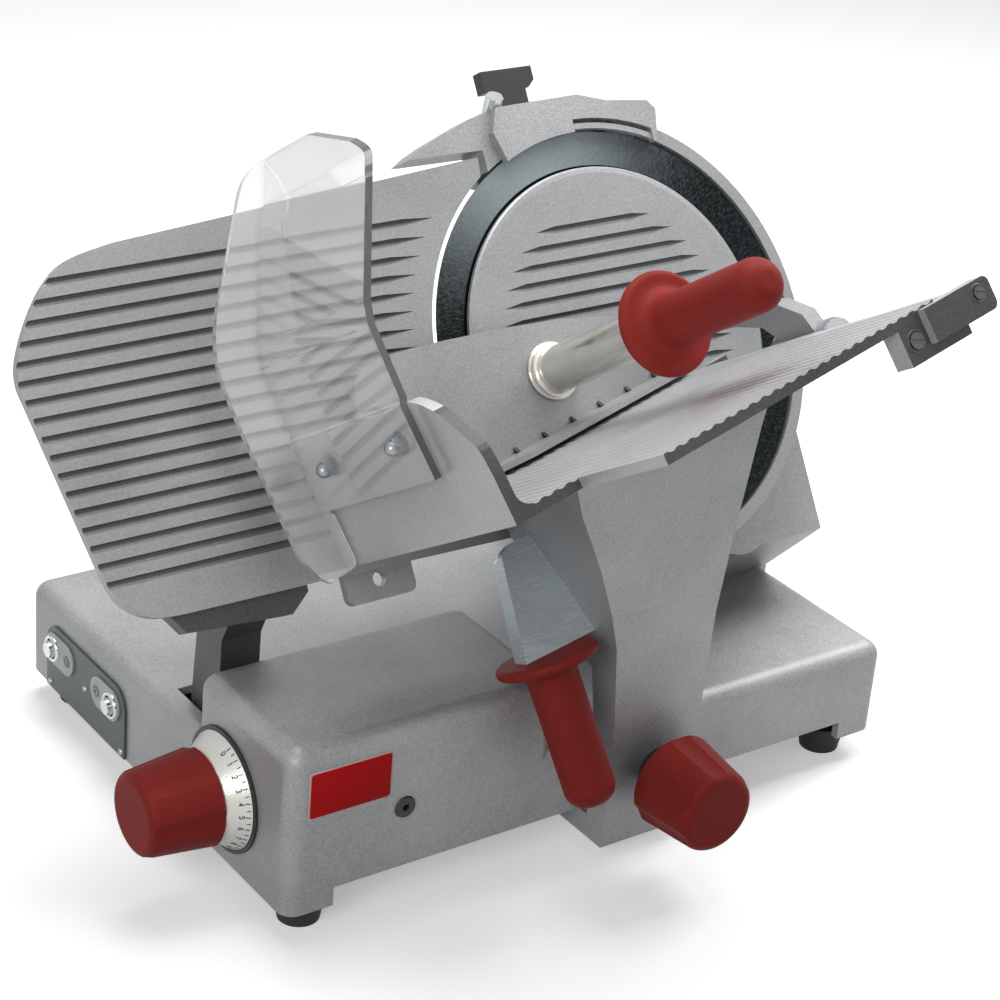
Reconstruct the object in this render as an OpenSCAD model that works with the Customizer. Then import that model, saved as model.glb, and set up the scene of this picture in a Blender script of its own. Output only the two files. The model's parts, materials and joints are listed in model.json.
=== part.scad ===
// Gravity food slicer: a tilted round blade with a fixed cover, a fluted gauge plate moved by a dial,
// and a carriage with a tray, a pusher and a clear hand guard that slides past the blade.
// Every module is drawn from the blade's centre: X along the carriage's travel, Y to the back, Z up.
// Lengths are in millimetres, and the whole machine is shifted to stand on its feet at the end.

/* [Machine] */
// Height of the blade's centre above the table
blade_axis_height = 306; // [304:1:312]
// Lean of the blade and gauge plate back from the vertical
blade_tilt = 32.5; // [32:0.25:33]
// Height of the rubber feet below the base
foot_height = 21; // [19:0.5:24]
// Width of a rubber foot
foot_width = 36; // [30:1:37]

/* [Base casting] */
// Length of the base along the carriage's travel
base_length = 508; // [504:1:520]
// Depth of the base from front to back
base_depth = 369; // [366:1:384]
// Height of the low deck above the base's lower edge
slab_height = 72; // [71:0.5:74]
// Height of the raised block at the front left
block_height = 122; // [119:0.5:123]
// Length of the raised block
block_length = 208; // [200:1:214]
// Depth of the raised block
block_depth = 122; // [120:0.5:124]
// Wall of the castings
wall = 6; // [5:0.25:6.5]
// Rounding of the base's edges
base_round = 12; // [10:0.5:14]
// Blade axis behind the base's front face
blade_from_front = 147; // [146:0.5:149]
// Blade axis from the base's left face
blade_from_left = 348; // [346:0.5:352]

/* [Blade and cover] */
// Diameter of the blade
blade_diameter = 300; // [296:1:302]
// Diameter of the fixed cover over the blade
cover_diameter = 249; // [240:1:252]
// Thickness of the blade behind its cutting bevel
blade_thickness = 5; // [4:0.25:5.5]
// Gap between the blade's edge and the pieces round it
blade_gap = 3; // [2.5:0.25:4]
// Radial width of the guard round the blade
ring_width = 9; // [8:0.5:10]

/* [Gauge plate] */
// Travel of the gauge plate behind the blade's plane
gauge_travel = 14; // [10:0.5:15]
// Thickness of the gauge plate
gauge_thick = 8; // [7:0.25:9]
// Number of flutes in the gauge plate
gauge_flutes = 17; // [12:1:17]
// Spacing of the flutes in the gauge plate
gauge_pitch = 12; // [11:0.25:12]

/* [Carriage] */
// Turn of the tray's floor up from level, seen square to the blade
tray_turn = 13.4; // [13:0.1:14]
// Length of the tray's floor across the blade
tray_length = 288; // [280:1:292]
// Depth of the tray's wall out from the blade
tray_wall_depth = 215; // [205:1:220]
// Depth of the tray's floor out from the blade
tray_floor_depth = 303; // [295:1:308]
// Height of the tray's wall
tray_wall_height = 82; // [78:1:86]
// Spacing of the flutes in the tray's floor
tray_pitch = 10; // [9.5:0.25:11]
// Width of the column's foot
column_width = 71; // [66:1:72]

/* [Grips] */
// Diameter of the knobs
knob_diameter = 68; // [60:1:70]
// Length of the knobs
knob_length = 51; // [46:1:54]
// Diameter of the round grips
grip_diameter = 35; // [32:0.5:36]
// Diameter of the collars on the grips
collar_diameter = 70; // [60:1:72]
// Length of the carriage's grip below its collar
grip_length = 106; // [96:1:110]
// Length of the pusher's grip beyond its collar
pusher_grip_length = 108; // [100:1:112]

/* [Hidden] */

smooth = 64;
small_smooth = 32;
overrun = 2;
fit_gap = 0.05;
running_gap = 0.5;

base_left = -blade_from_left;
base_right = base_left + base_length;
base_front = -blade_from_front;
base_back = base_front + base_depth;
base_bottom = foot_height - blade_axis_height;
deck_z = base_bottom + slab_height;
block_back = base_front + block_depth;

blade_r = blade_diameter/2;
cover_r = cover_diameter/2;
ring_in = blade_r + blade_gap;
ring_out = ring_in + ring_width;

// Depth and height of a point given up the blade's plane and out from it
function plane_y(up, out) = up*sin(blade_tilt) - out*cos(blade_tilt);
function plane_z(up, out) = up*cos(blade_tilt) + out*sin(blade_tilt);
function plane_yz(up, out) = [plane_y(up, out), plane_z(up, out)];
// Points on an arc
function arc(centre, r, from, to, steps) =
  [for (i = [0:steps]) let (a = from + (to - from)*i/steps) centre + r*[cos(a), sin(a)]];
// A smooth line through a row of points
function between(a, b, c, d, t) = b + (c - a)*t/2 + (2*a - 5*b + 4*c - d)*t*t/2 + (3*b - a - 3*c + d)*t*t*t/2;
function curve(p, steps) = concat([for (i = [0:len(p) - 2], s = [0:steps - 1])
  between(p[max(i - 1, 0)], p[i], p[i + 1], p[min(i + 2, len(p) - 1)], s/steps)], [p[len(p) - 1]]);

// The blade's frame: x along the travel, y up the plate, z out of the plate to the operator
module blade_frame() rotate([90 - blade_tilt, 0, 0]) children();

// The tray's frame: x along the floor, y up the wall, z out from the blade
tray_corner_x = -255;
tray_corner_up = -101;
module tray_frame() blade_frame()
  translate([tray_corner_x, tray_corner_up, 0])
    rotate([0, 0, tray_turn])
      children();

// A plate drawn in x and z and laid with its top at y = 0
module lay_flat(thick) rotate([90, 0, 0]) linear_extrude(thick) children();
// A plate drawn in y and z and carried along x
module stand_up(thick) rotate([90, 0, 90]) linear_extrude(thick) children();

module rounded_rect(size, r) {
  translate([r, 0])
    square([size[0] - 2*r, size[1]]);
  translate([0, r])
    square([size[0], size[1] - 2*r]);
  for (x = [r, size[0] - r], y = [r, size[1] - r])
    translate([x, y])
      circle(r = r, $fn = smooth);
}

// A block with round upright corners and round top edges
module soft_block(size, r) {
  lower = size[2] - r;
  linear_extrude(lower)
    rounded_rect([size[0], size[1]], r);
  translate([r, r, 0])
    cube([size[0] - 2*r, size[1] - 2*r, size[2]]);
  for (y = [r, size[1] - r])
    translate([r, y, lower])
      rotate([0, 90, 0])
        cylinder(h = size[0] - 2*r, r = r, $fn = smooth);
  for (x = [r, size[0] - r])
    translate([x, r, lower])
      rotate([-90, 0, 0])
        cylinder(h = size[1] - 2*r, r = r, $fn = smooth);
  for (x = [r, size[0] - r], y = [r, size[1] - r])
    translate([x, y, lower])
      sphere(r = r, $fn = smooth);
}

module tube(outer, inner, length) difference() {
  cylinder(h = length, r = outer, $fn = smooth);
  translate([0, 0, -overrun])
    cylinder(h = length + 2*overrun, r = inner, $fn = smooth);
}

// A pan head screw standing on z = 0 with its shank below
module pan_screw(head_r, head_h, shank_r, shank) {
  cylinder(h = head_h, r1 = head_r, r2 = head_r*3/4, $fn = small_smooth);
  translate([0, 0, -shank])
    cylinder(h = shank, r = shank_r, $fn = small_smooth);
}

// Outline round two discs and the straight belt lines between them
module belt_outline(r1, r2) {
  gap = norm(motor_place);
  lean = acos((r1 - r2)/gap);
  way = atan2(motor_place[1], motor_place[0]);
  polygon(concat(arc([0, 0], r1, way + lean, way + 360 - lean, smooth),
    arc(motor_place, r2, way - lean, way + lean, small_smooth)));
}

// Running gear inside the base
rod_place = [35, 33];
rod_y = base_front + rod_place[0];
rod_z = base_bottom + rod_place[1];
rod_r = 10;
rail_place = [84, 31];
rail_y = base_front + rail_place[0];
rail_top = base_bottom + rail_place[1];
rail_thick = 8;
rail_width = 12;
rail_left = -300;
rail_block = 14;
rail_right = base_right - wall/2;
dial_y = -66;
dial_up = 54;
dial_z = base_bottom + dial_up;
shaft_r = 7;
bush_r = 11;

// Feet, covers and holes of the base
foot_inset = 27;
foot_boss_r = 10;
foot_screw_r = 3;
foot_screw_length = 16;
foot_recess_r = 7;
foot_recess_h = 9;
foot_taper = 0.4;
pad_width = 36;
pad_lift = 14;
bottom_sheet = 2;
bottom_gap = 1;
cover_boss_r = 7;
cover_screw_r = 2;
cover_screw_length = 14;
hole_x = -260.5;
hole_up = 60;
hole_z = base_bottom + hole_up;
hole_r = 4.5;

// Carrier of the gauge plate inside the base
arm_width = 30;
arm_x = -326;
gauge_rod_r = 7;
gauge_rod_up = 35;
gauge_rod_place = [-8, base_bottom + gauge_rod_up];
gauge_rod_ends = [-38, 23];
gauge_sleeve_ends = [-14, 14];
gauge_sleeve_r = 12;
bracket_plate = 6;
bracket_drop = 10;
bracket_lift = 9;
bracket_side = 4;
stem_front = -16;
stem_back = 20;
slot_margin = 3;

// Neck casting behind the blade
neck_left = 14;
neck_step = 1;
neck_right = base_right - neck_step;
neck_front = -10;
neck_lip = 8;
neck_plane = -30;
case_back = -78;
neck_shoulder = -92;
neck_back = (neck_shoulder - deck_z*cos(blade_tilt))/sin(blade_tilt);
neck_chin = -166;
hub_case_r = 66;
motor_case_r = 32;
motor_in = 74;
motor_place = [neck_right - motor_in, -138];

// Control panel on the left face
panel_back = 190;
panel_front = 70;
panel_round = 16;
panel_thick = 2;
panel_bottom = 1;
panel_top = 54;
start_y = 178;
stop_y = 88;

button_up = 36;
button_z = base_bottom + button_up;
button_hole_r = 8;
button_r = 6.5;

function foot_places() = [for (x = [base_left + foot_inset, base_right - foot_inset],
  y = [base_front + foot_inset, base_back - foot_inset]) [x, y]];
cover_inset = 70;
function cover_places() = [for (x = [base_left + cover_inset, base_right - cover_inset],
  y = [block_back + foot_inset, base_back - foot_inset]) [x, y]];

module base_outside() {
  // The deck's edge is left square under the neck casting
  translate([base_right - 2*base_round, neck_front, base_bottom + slab_height/2])
    cube([2*base_round, neck_back - neck_front, slab_height/2]);
  translate([base_left, base_front, base_bottom])
    soft_block([base_length, base_depth, slab_height], base_round);
  translate([base_left, base_front, base_bottom])
    soft_block([block_length, block_depth, block_height], base_round);
}

module base_inside() {
  r = base_round - wall;
  translate([base_left + wall, base_front + wall, base_bottom - overrun])
    soft_block([base_length - 2*wall, base_depth - 2*wall, slab_height - wall + overrun], r);
  translate([base_left + wall, base_front + wall, base_bottom - overrun])
    soft_block([block_length - 2*wall, block_depth - 2*wall, block_height - wall + overrun], r);
}

// Bosses for the feet, the bottom cover, the rod and the rail, all joined to the casting
rod_boss_r = 17;
rod_boss_length = 16;
module base_bosses() {
  for (p = foot_places())
    translate([p[0], p[1], base_bottom])
      cylinder(h = (p[0] < 0 && p[1] < 0 ? block_height : slab_height) - wall/2,
        r = foot_boss_r, $fn = smooth);
  for (p = cover_places())
    translate([p[0], p[1], base_bottom + bottom_sheet])
      cylinder(h = slab_height - wall/2 - bottom_sheet, r = cover_boss_r, $fn = small_smooth);
  for (x = [base_left + wall/2, base_right - wall/2 - rod_boss_length])
    translate([x, rod_y, rod_z])
      rotate([0, 90, 0])
        cylinder(h = rod_boss_length, r = rod_boss_r, $fn = smooth);
  for (b = [[rail_left, block_height], [rail_right - rail_block, slab_height]])
    translate([b[0], rail_y - rail_width, rail_top - rail_thick])
      cube([rail_block, rail_width*2, base_bottom + b[1] - wall/2 - rail_top + rail_thick]);
}

module base_housing() color("#a9abad") difference() {
  union() {
    difference() {
      base_outside();
      base_inside();
    }
    intersection() {
      base_bosses();
      base_outside();
    }
  }
  // The front edge is lifted between the corner pads, where the carriage reaches under it
  translate([base_left + pad_width, base_front - overrun, base_bottom - overrun])
    cube([base_length - 2*pad_width, wall + 2*overrun, pad_lift + overrun]);
  // Seats of the carriage's rod and rail, closed at the outside by the casting's wall
  translate([base_left + wall, rod_y, rod_z])
    rotate([0, 90, 0])
      cylinder(h = base_length - 2*wall, r = rod_r, $fn = smooth);
  translate([rail_left - overrun, rail_y - rail_width/2, rail_top - rail_thick - overrun])
    cube([base_right - wall - rail_left + overrun, rail_width, rail_thick + overrun]);
  // Ways out for the dial's shaft, the gauge plate's arm and the motor
  translate([base_left - overrun, dial_y, dial_z])
    rotate([0, 90, 0])
      cylinder(h = wall + 2*overrun, r = bush_r, $fn = smooth);
  translate([arm_x - slot_margin, stem_front - slot_margin, deck_z - wall - overrun])
    cube([arm_width + 2*slot_margin, stem_back - stem_front + gauge_travel + slot_margin,
      wall + 2*overrun]);
  translate([neck_left + neck_lip, neck_front + neck_lip, deck_z - wall - overrun])
    cube([neck_right - neck_left - 2*neck_lip, neck_back - neck_front - 3*neck_lip,
      wall + 2*overrun]);
  translate([hole_x, base_front - overrun, hole_z])
    rotate([-90, 0, 0])
      cylinder(h = wall + 2*overrun, r = hole_r, $fn = small_smooth);
  for (y = [stop_y, start_y])
    translate([base_left - overrun, y, button_z])
      rotate([0, 90, 0])
        cylinder(h = wall + 2*overrun, r = button_hole_r, $fn = small_smooth);
  for (p = foot_places())
    translate([p[0], p[1], base_bottom - overrun])
      cylinder(h = foot_screw_length + overrun, r = foot_screw_r, $fn = small_smooth);
  for (p = cover_places())
    translate([p[0], p[1], base_bottom - overrun])
      cylinder(h = cover_screw_length + overrun, r = cover_screw_r, $fn = small_smooth);
}

// The sheet under the base leaves the carriage's run open at the front
module bottom_cover() color("#b9bcbf") difference() {
  translate([base_left + wall + bottom_gap, block_back + bottom_gap, base_bottom])
    linear_extrude(bottom_sheet)
      rounded_rect([base_length - 2*wall - 2*bottom_gap,
        base_back - block_back - wall - 2*bottom_gap], wall);
  for (p = foot_places())
    translate([p[0], p[1], base_bottom - overrun])
      cylinder(h = bottom_sheet + 2*overrun, r = foot_boss_r + bottom_gap, $fn = smooth);
  for (p = cover_places())
    translate([p[0], p[1], base_bottom - overrun])
      cylinder(h = bottom_sheet + 2*overrun, r = cover_screw_r, $fn = small_smooth);
}

module feet() color("#222222") for (p = foot_places())
  translate([p[0], p[1], base_bottom - foot_height])
    difference() {
      cylinder(h = foot_height, r1 = foot_width*foot_taper, r2 = foot_width/2, $fn = smooth);
      translate([0, 0, -overrun])
        cylinder(h = foot_recess_h + overrun, r = foot_recess_r, $fn = small_smooth);
      cylinder(h = foot_height + overrun, r = foot_screw_r, $fn = small_smooth);
    }

// Screws of the feet and of the bottom cover
screw_head_r = 5;
screw_head_h = 3;
module foot_screws() color("#8d9093") {
  for (p = foot_places())
    translate([p[0], p[1], base_bottom - foot_height + foot_recess_h])
      rotate([180, 0, 0])
        pan_screw(screw_head_r, screw_head_h, foot_screw_r,
          foot_height - foot_recess_h + foot_screw_length);
  for (p = cover_places())
    translate([p[0], p[1], base_bottom])
      rotate([180, 0, 0])
        pan_screw(screw_head_r*3/4, screw_head_h*3/4, cover_screw_r, cover_screw_length);
}

module stadium(length, r) {
  square([length - 2*r, 2*r], center = true);
  for (x = [-1, 1])
    translate([x*(length/2 - r), 0])
      circle(r = r, $fn = smooth);
}

module control_panel() color("#4a5552") difference() {
  translate([base_left - panel_thick, 0, base_bottom])
    stand_up(panel_thick)
      difference() {
        union() {
          translate([panel_front, panel_bottom])
            square([panel_back - panel_front, panel_top - panel_round]);
          translate([panel_front, panel_bottom])
            rounded_rect([panel_back - panel_front, panel_top - panel_bottom], panel_round);
        }
        for (y = [stop_y, start_y])
          translate([y, button_z - base_bottom])
            circle(r = button_hole_r, $fn = small_smooth);
      }
}

// Pale oval plates, each round a push button and its mark
oval_length = 42;
oval_r = 12;
oval_thick = 1.5;
oval_reach = 10;
module button_plates() color("#c9ccc4")
  for (b = [[stop_y, 1], [start_y, -1]])
    translate([base_left - panel_thick - oval_thick, 0, 0])
      stand_up(oval_thick)
        difference() {
          translate([b[0] + b[1]*oval_reach, button_z])
            stadium(oval_length, oval_r);
          translate([b[0], button_z])
            circle(r = button_hole_r, $fn = small_smooth);
        }

panel_screw_r = 2.5;
panel_screw_inset = 5;
module panel_screws() color("#6f7475")
  for (p = [[panel_front + panel_screw_inset, base_bottom + panel_screw_inset],
      [panel_back - panel_screw_inset, base_bottom + panel_screw_inset],
      [(panel_front + panel_back)/2, base_bottom + panel_top/2]])
    translate([base_left - panel_thick, p[0], p[1]])
      rotate([0, -90, 0])
        cylinder(h = screw_head_h/3, r1 = panel_screw_r, r2 = panel_screw_r*3/4, $fn = small_smooth);

// A push button's cap, its stem through the casting and the hole it works in
button_out = 5;
button_stem_r = 4;
button_reach = 14;
button_stroke = 3;
button_edge = 1;
module push_button(y) translate([base_left - panel_thick - oval_thick, y, button_z])
  rotate([0, 90, 0]) {
    translate([0, 0, -button_out])
      cylinder(h = button_out, r1 = button_r - button_edge, r2 = button_r, $fn = smooth);
    cylinder(h = panel_thick + oval_thick, r = button_r, $fn = smooth);
    cylinder(h = panel_thick + oval_thick + wall + button_reach, r = button_stem_r, $fn = smooth);
  }
module start_button() color("#c4c8ca") push_button(start_y);
module stop_button() color("#c4c8ca") push_button(stop_y);

// Contact box behind the buttons, on the bottom cover
box_gap = 24;
box_depth = 48;
box_lip = 6;
module circuit_box() color("#3a3d40") difference() {
  translate([base_left + wall + box_gap, stop_y - box_lip, base_bottom + bottom_sheet])
    cube([box_depth, start_y - stop_y + 2*box_lip, slab_height - wall - bottom_sheet - box_lip]);
  for (y = [stop_y, start_y])
    translate([base_left + wall + box_gap - overrun, y, button_z])
      rotate([0, 90, 0])
        cylinder(h = button_stroke + overrun, r = button_stem_r + button_edge, $fn = small_smooth);
}

// Ring round the small hole in the front face
plug_r = 8;
plug_lip = 1.5;
plug_hole_r = 2.5;
module front_plug() color("#222222")
  translate([hole_x, base_front, hole_z])
    rotate([90, 0, 0])
      difference() {
        union() {
          cylinder(h = plug_lip, r1 = plug_r, r2 = plug_r - plug_lip/2, $fn = smooth);
          translate([0, 0, -wall])
            cylinder(h = wall, r = hole_r - fit_gap, $fn = small_smooth);
        }
        translate([0, 0, -wall - overrun])
          cylinder(h = wall + plug_lip + 2*overrun, r = plug_hole_r, $fn = small_smooth);
      }

// Rod and rail of the carriage
module carriage_rod() color("#d2d4d6")
  translate([base_left + wall, rod_y, rod_z])
    rotate([0, 90, 0])
      cylinder(h = base_length - 2*wall, r = rod_r - fit_gap, $fn = smooth);
module guide_rail() color("#c8cacc")
  translate([rail_left, rail_y - rail_width/2, rail_top - rail_thick])
    cube([base_right - wall - rail_left, rail_width, rail_thick]);

// Casting behind the blade: a hump on the deck and a belt case up to the blade's hub
post_r = 7;
post_end = -17;
post_shares = [[0.346667, -0.16], [0.3, 0.213333], [0.666667, -0.693333], [0.266667, -0.866667]];
post_places = post_shares*blade_r;
guard_screw_r = 2.5;
guard_screw_length = 14;
hub_boss_r = 26;
hub_boss_front = -15.5;
bearing_r = 19;
bearing_width = 9;
hub_shaft_r = 12;
bulkhead_back = -100;
bulkhead_thick = 8;
motor_shaft_r = 7;
motor_fix_r = 2.5;
motor_fix_circle = 30;
rim_screw_r = 1.5;
rim_screw_length = 10;
rim_angles = [100, 190, 15];
function rim_places() = [for (a = rim_angles) (hub_case_r - wall/2)*[cos(a), sin(a)]];
function motor_fixes() = [for (a = [45:90:315]) motor_place + motor_fix_circle*[cos(a), sin(a)]];

module hump(inset, below) {
  left = neck_left + inset;
  translate([left, 0, 0])
    stand_up(neck_right - neck_left - 2*inset)
      polygon([plane_yz(neck_shoulder - inset, neck_plane - inset),
        plane_yz(neck_chin + inset*3/4, neck_plane - inset),
        [neck_front + inset*4/3, deck_z], [neck_front + inset*4/3, deck_z - below],
        [neck_back - inset/sin(blade_tilt), deck_z - below],
        [neck_back - inset/sin(blade_tilt), deck_z]]);
}

module neck_casting() color("#a4a6a8") difference() {
  union() {
    difference() {
      union() {
        hump(0, 0);
        blade_frame()
          translate([0, 0, case_back])
            linear_extrude(neck_plane - case_back)
              belt_outline(hub_case_r, motor_case_r);
      }
      hump(wall, overrun);
      blade_frame()
        translate([0, 0, case_back - overrun])
          linear_extrude(neck_plane - wall - case_back + overrun)
            belt_outline(hub_case_r - wall, motor_case_r - wall);
    }
    // Bulkhead that carries the motor
    intersection() {
      hump(wall/2, 0);
      blade_frame()
        translate([neck_left, neck_chin - wall*3, bulkhead_back])
          cube([neck_right - neck_left, neck_shoulder - neck_chin + wall*3, bulkhead_thick]);
    }
    blade_frame() {
      translate([0, 0, neck_plane - wall])
        cylinder(h = hub_boss_front - neck_plane + wall, r = hub_boss_r, $fn = smooth);
      for (p = post_places)
        translate([p[0], p[1], neck_plane - wall/2])
          cylinder(h = post_end - neck_plane + wall/2, r = post_r, $fn = smooth);
    }
  }
  blade_frame() {
    translate([0, 0, neck_plane - wall - overrun])
      cylinder(h = hub_boss_front - neck_plane + wall + 2*overrun, r = bearing_r, $fn = smooth);
    for (p = post_places)
      translate([p[0], p[1], post_end - guard_screw_length])
        cylinder(h = guard_screw_length + overrun, r = guard_screw_r, $fn = small_smooth);
    for (p = rim_places())
      translate([p[0], p[1], case_back - overrun])
        cylinder(h = rim_screw_length + overrun, r = rim_screw_r, $fn = small_smooth);
    translate([motor_place[0], motor_place[1], bulkhead_back - overrun])
      cylinder(h = bulkhead_thick + 2*overrun, r = motor_shaft_r*2, $fn = smooth);
    for (p = motor_fixes())
      translate([p[0], p[1], bulkhead_back - overrun])
        cylinder(h = bulkhead_thick + 2*overrun, r = motor_fix_r, $fn = small_smooth);
  }
}

// Half ring round the blade's far side with a web behind the blade
guard_back = -14;
guard_front = 1;
guard_turn = 65;
web_thick = 4;
web_hole = 43;
module guard_half(size) rotate([0, 0, guard_turn])
  translate([-size, 0, post_end - overrun])
    cube([2*size, size, guard_front - post_end + 2*overrun]);
module ring_guard() color("#b0b2b4") blade_frame() difference() {
  union() {
    translate([0, 0, guard_back])
      tube(ring_out, ring_in, guard_front - guard_back);
    translate([0, 0, post_end])
      cylinder(h = web_thick, r = ring_out, $fn = smooth*2);
  }
  guard_half(ring_out + overrun);
  translate([0, 0, post_end - overrun])
    cylinder(h = web_thick + 2*overrun, r = web_hole, $fn = smooth);
  for (p = post_places)
    translate([p[0], p[1], post_end - overrun])
      cylinder(h = web_thick + 2*overrun, r = guard_screw_r, $fn = small_smooth);
}

module guard_screws() color("#8d9093") blade_frame()
  for (p = post_places)
    translate([p[0], p[1], post_end + web_thick])
      pan_screw(screw_head_r, screw_head_h, guard_screw_r, guard_screw_length);

// Two ball bearings for the blade's hub, drawn as grooved rings
groove_depth = 1;
groove_half = 2;
module bearing() difference() {
  middle = (bearing_r + hub_shaft_r)/2;
  tube(bearing_r - fit_gap, hub_shaft_r + fit_gap, bearing_width);
  for (z = [-overrun, bearing_width - groove_depth])
    translate([0, 0, z])
      difference() {
        cylinder(h = groove_depth + overrun, r = middle + groove_half, $fn = smooth);
        translate([0, 0, -overrun])
          cylinder(h = groove_depth + 3*overrun, r = middle - groove_half, $fn = smooth);
      }
}
module hub_bearings() color("#b5b8ba") blade_frame()
  for (z = [neck_plane - wall, hub_boss_front - bearing_width - groove_depth])
    translate([0, 0, z])
      bearing();

// Plate that closes the belt case above the hump
cover_sheet = 3;
rod_nut_r = 18;
module belt_cover() color("#9fa2a4") blade_frame() difference() {
  translate([0, 0, case_back - cover_sheet])
    linear_extrude(cover_sheet)
      belt_outline(hub_case_r - cover_sheet/2, motor_case_r - cover_sheet/2);
  translate([-hub_case_r, -4*hub_case_r + neck_shoulder, case_back - 2*cover_sheet])
    cube([4*hub_case_r, 4*hub_case_r + cover_sheet/2, 3*cover_sheet]);
  for (p = rim_places())
    translate([p[0], p[1], case_back - cover_sheet - overrun])
      cylinder(h = cover_sheet + 2*overrun, r = rim_screw_r, $fn = small_smooth);
  translate([0, 0, case_back - cover_sheet - overrun])
    cylinder(h = cover_sheet + 2*overrun, r = tie_r + fit_gap, $fn = small_smooth);
}
module cover_screws() color("#8d9093") blade_frame()
  for (p = rim_places())
    translate([p[0], p[1], case_back - cover_sheet])
      rotate([180, 0, 0])
        pan_screw(screw_head_r*3/4, screw_head_h*3/4, rim_screw_r, rim_screw_length);

// Motor bolted behind the bulkhead, with ribs along its can
motor_r = 38;
motor_length = 100;
motor_cap = 12;
motor_ribs = 12;
rib_size = 3;
shaft_back = -150;
module motor_body() color("#55595c") blade_frame()
  translate([motor_place[0], motor_place[1], 0])
    difference() {
      union() {
        translate([0, 0, bulkhead_back - motor_cap])
          cylinder(h = motor_cap, r = motor_r, $fn = smooth);
        translate([0, 0, bulkhead_back - motor_length + motor_cap])
          cylinder(h = motor_length - motor_cap, r = motor_r - rib_size, $fn = smooth);
        translate([0, 0, bulkhead_back - motor_length])
          cylinder(h = motor_cap, r1 = motor_r - motor_cap, r2 = motor_r, $fn = smooth);
        for (i = [0:motor_ribs - 1])
          rotate([0, 0, i*360/motor_ribs])
            translate([motor_r/2, -rib_size/2, bulkhead_back - motor_length + motor_cap/2])
              cube([motor_r/2 - rib_size/2, rib_size, motor_length - motor_cap]);
      }
      translate([0, 0, shaft_back])
        cylinder(h = bulkhead_back - shaft_back + overrun, r = motor_shaft_r + fit_gap, $fn = smooth);
    }

// Motor shaft with its pulley
pulley_front = -46;
pulley_width = 20;
small_pulley_r = 17;
large_pulley_r = 52;
pulley_flange = 1.5;
module pulley(r, bore) rotate_extrude($fn = smooth)
  polygon([[bore, 0], [r + pulley_flange, 0], [r + pulley_flange, pulley_flange],
    [r, pulley_flange*2], [r, pulley_width - pulley_flange*2],
    [r + pulley_flange, pulley_width - pulley_flange], [r + pulley_flange, pulley_width],
    [bore, pulley_width]]);
module motor_shaft() color("#c0c3c6") blade_frame()
  translate([motor_place[0], motor_place[1], 0]) {
    translate([0, 0, shaft_back])
      cylinder(h = pulley_front - shaft_back, r = motor_shaft_r, $fn = smooth);
    translate([0, 0, pulley_front - pulley_width])
      pulley(small_pulley_r, 0);
  }

belt_gap = 0.3;
belt_thick = 2;
module drive_belt() color("#262626") blade_frame()
  translate([0, 0, pulley_front - pulley_width + pulley_flange*3])
    difference() {
      linear_extrude(pulley_width - pulley_flange*6)
        belt_outline(large_pulley_r + belt_gap + belt_thick, small_pulley_r + belt_gap + belt_thick);
      translate([0, 0, -overrun])
        linear_extrude(pulley_width)
          belt_outline(large_pulley_r + belt_gap, small_pulley_r + belt_gap);
    }

// Blade, its hub on a hollow shaft, and the pulley that turns it
edge_bevel = 10;
hub_flange_r = 40;
hub_flange_thick = 7;
hub_back = -70;
tie_r = 4;
hub_bore_r = 6;
blade_face = -3;
blade_back = blade_face - blade_thickness*3/5;
cover_rim = 1.5;
hub_screw_circle = 34;
hub_screw_r = 2;
hub_screw_length = 6;
function hub_screws() = [for (a = [0:72:288]) hub_screw_circle*[cos(a), sin(a)]];

module blade() color("#5d6b6b") blade_frame() difference() {
  rotate_extrude($fn = smooth*2)
    polygon([[hub_shaft_r + fit_gap, blade_face], [cover_r, blade_face],
      [cover_r + cover_rim, blade_face + blade_gap/6], [blade_r, 0], [blade_r, -blade_gap/8],
      [blade_r - edge_bevel, -blade_thickness], [blade_r - 3*edge_bevel, blade_back],
      [hub_shaft_r + fit_gap, blade_back]]);
  for (p = hub_screws())
    translate([p[0], p[1], -2*blade_thickness])
      cylinder(h = 2*blade_thickness, r = hub_screw_r, $fn = small_smooth);
}

module blade_hub() color("#b9bcbe") blade_frame() difference() {
  union() {
    translate([0, 0, blade_back - hub_flange_thick])
      cylinder(h = hub_flange_thick, r = hub_flange_r, $fn = smooth);
    translate([0, 0, hub_back])
      cylinder(h = blade_face - hub_back, r = hub_shaft_r, $fn = smooth);
  }
  translate([0, 0, hub_back - overrun])
    cylinder(h = blade_face - hub_back + 2*overrun, r = hub_bore_r, $fn = smooth);
  for (p = hub_screws())
    translate([p[0], p[1], blade_back - hub_screw_length])
      cylinder(h = hub_screw_length + overrun, r = hub_screw_r, $fn = small_smooth);
}

module blade_screws() color("#8d9093") blade_frame()
  for (p = hub_screws())
    translate([p[0], p[1], blade_back - hub_screw_length + fit_gap])
      cylinder(h = blade_face - blade_back + hub_screw_length - 2*fit_gap, r = hub_screw_r,
        $fn = small_smooth);

module hub_pulley() color("#4a4d50") blade_frame()
  translate([0, 0, pulley_front - pulley_width])
    pulley(large_pulley_r, hub_shaft_r + fit_gap);

// Fixed cover in front of the blade, held by a rod through the hollow hub
cover_back = -2;
cover_front = 2.5;
cover_flutes = 15;
flute_inset = 26.5;
flute_circle = cover_r - flute_inset;
flute_wide = 5;
flute_deep = 2.3;
flute_r = flute_wide*flute_wide/8/flute_deep + flute_deep/2;
flute_taper = 25;

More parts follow.
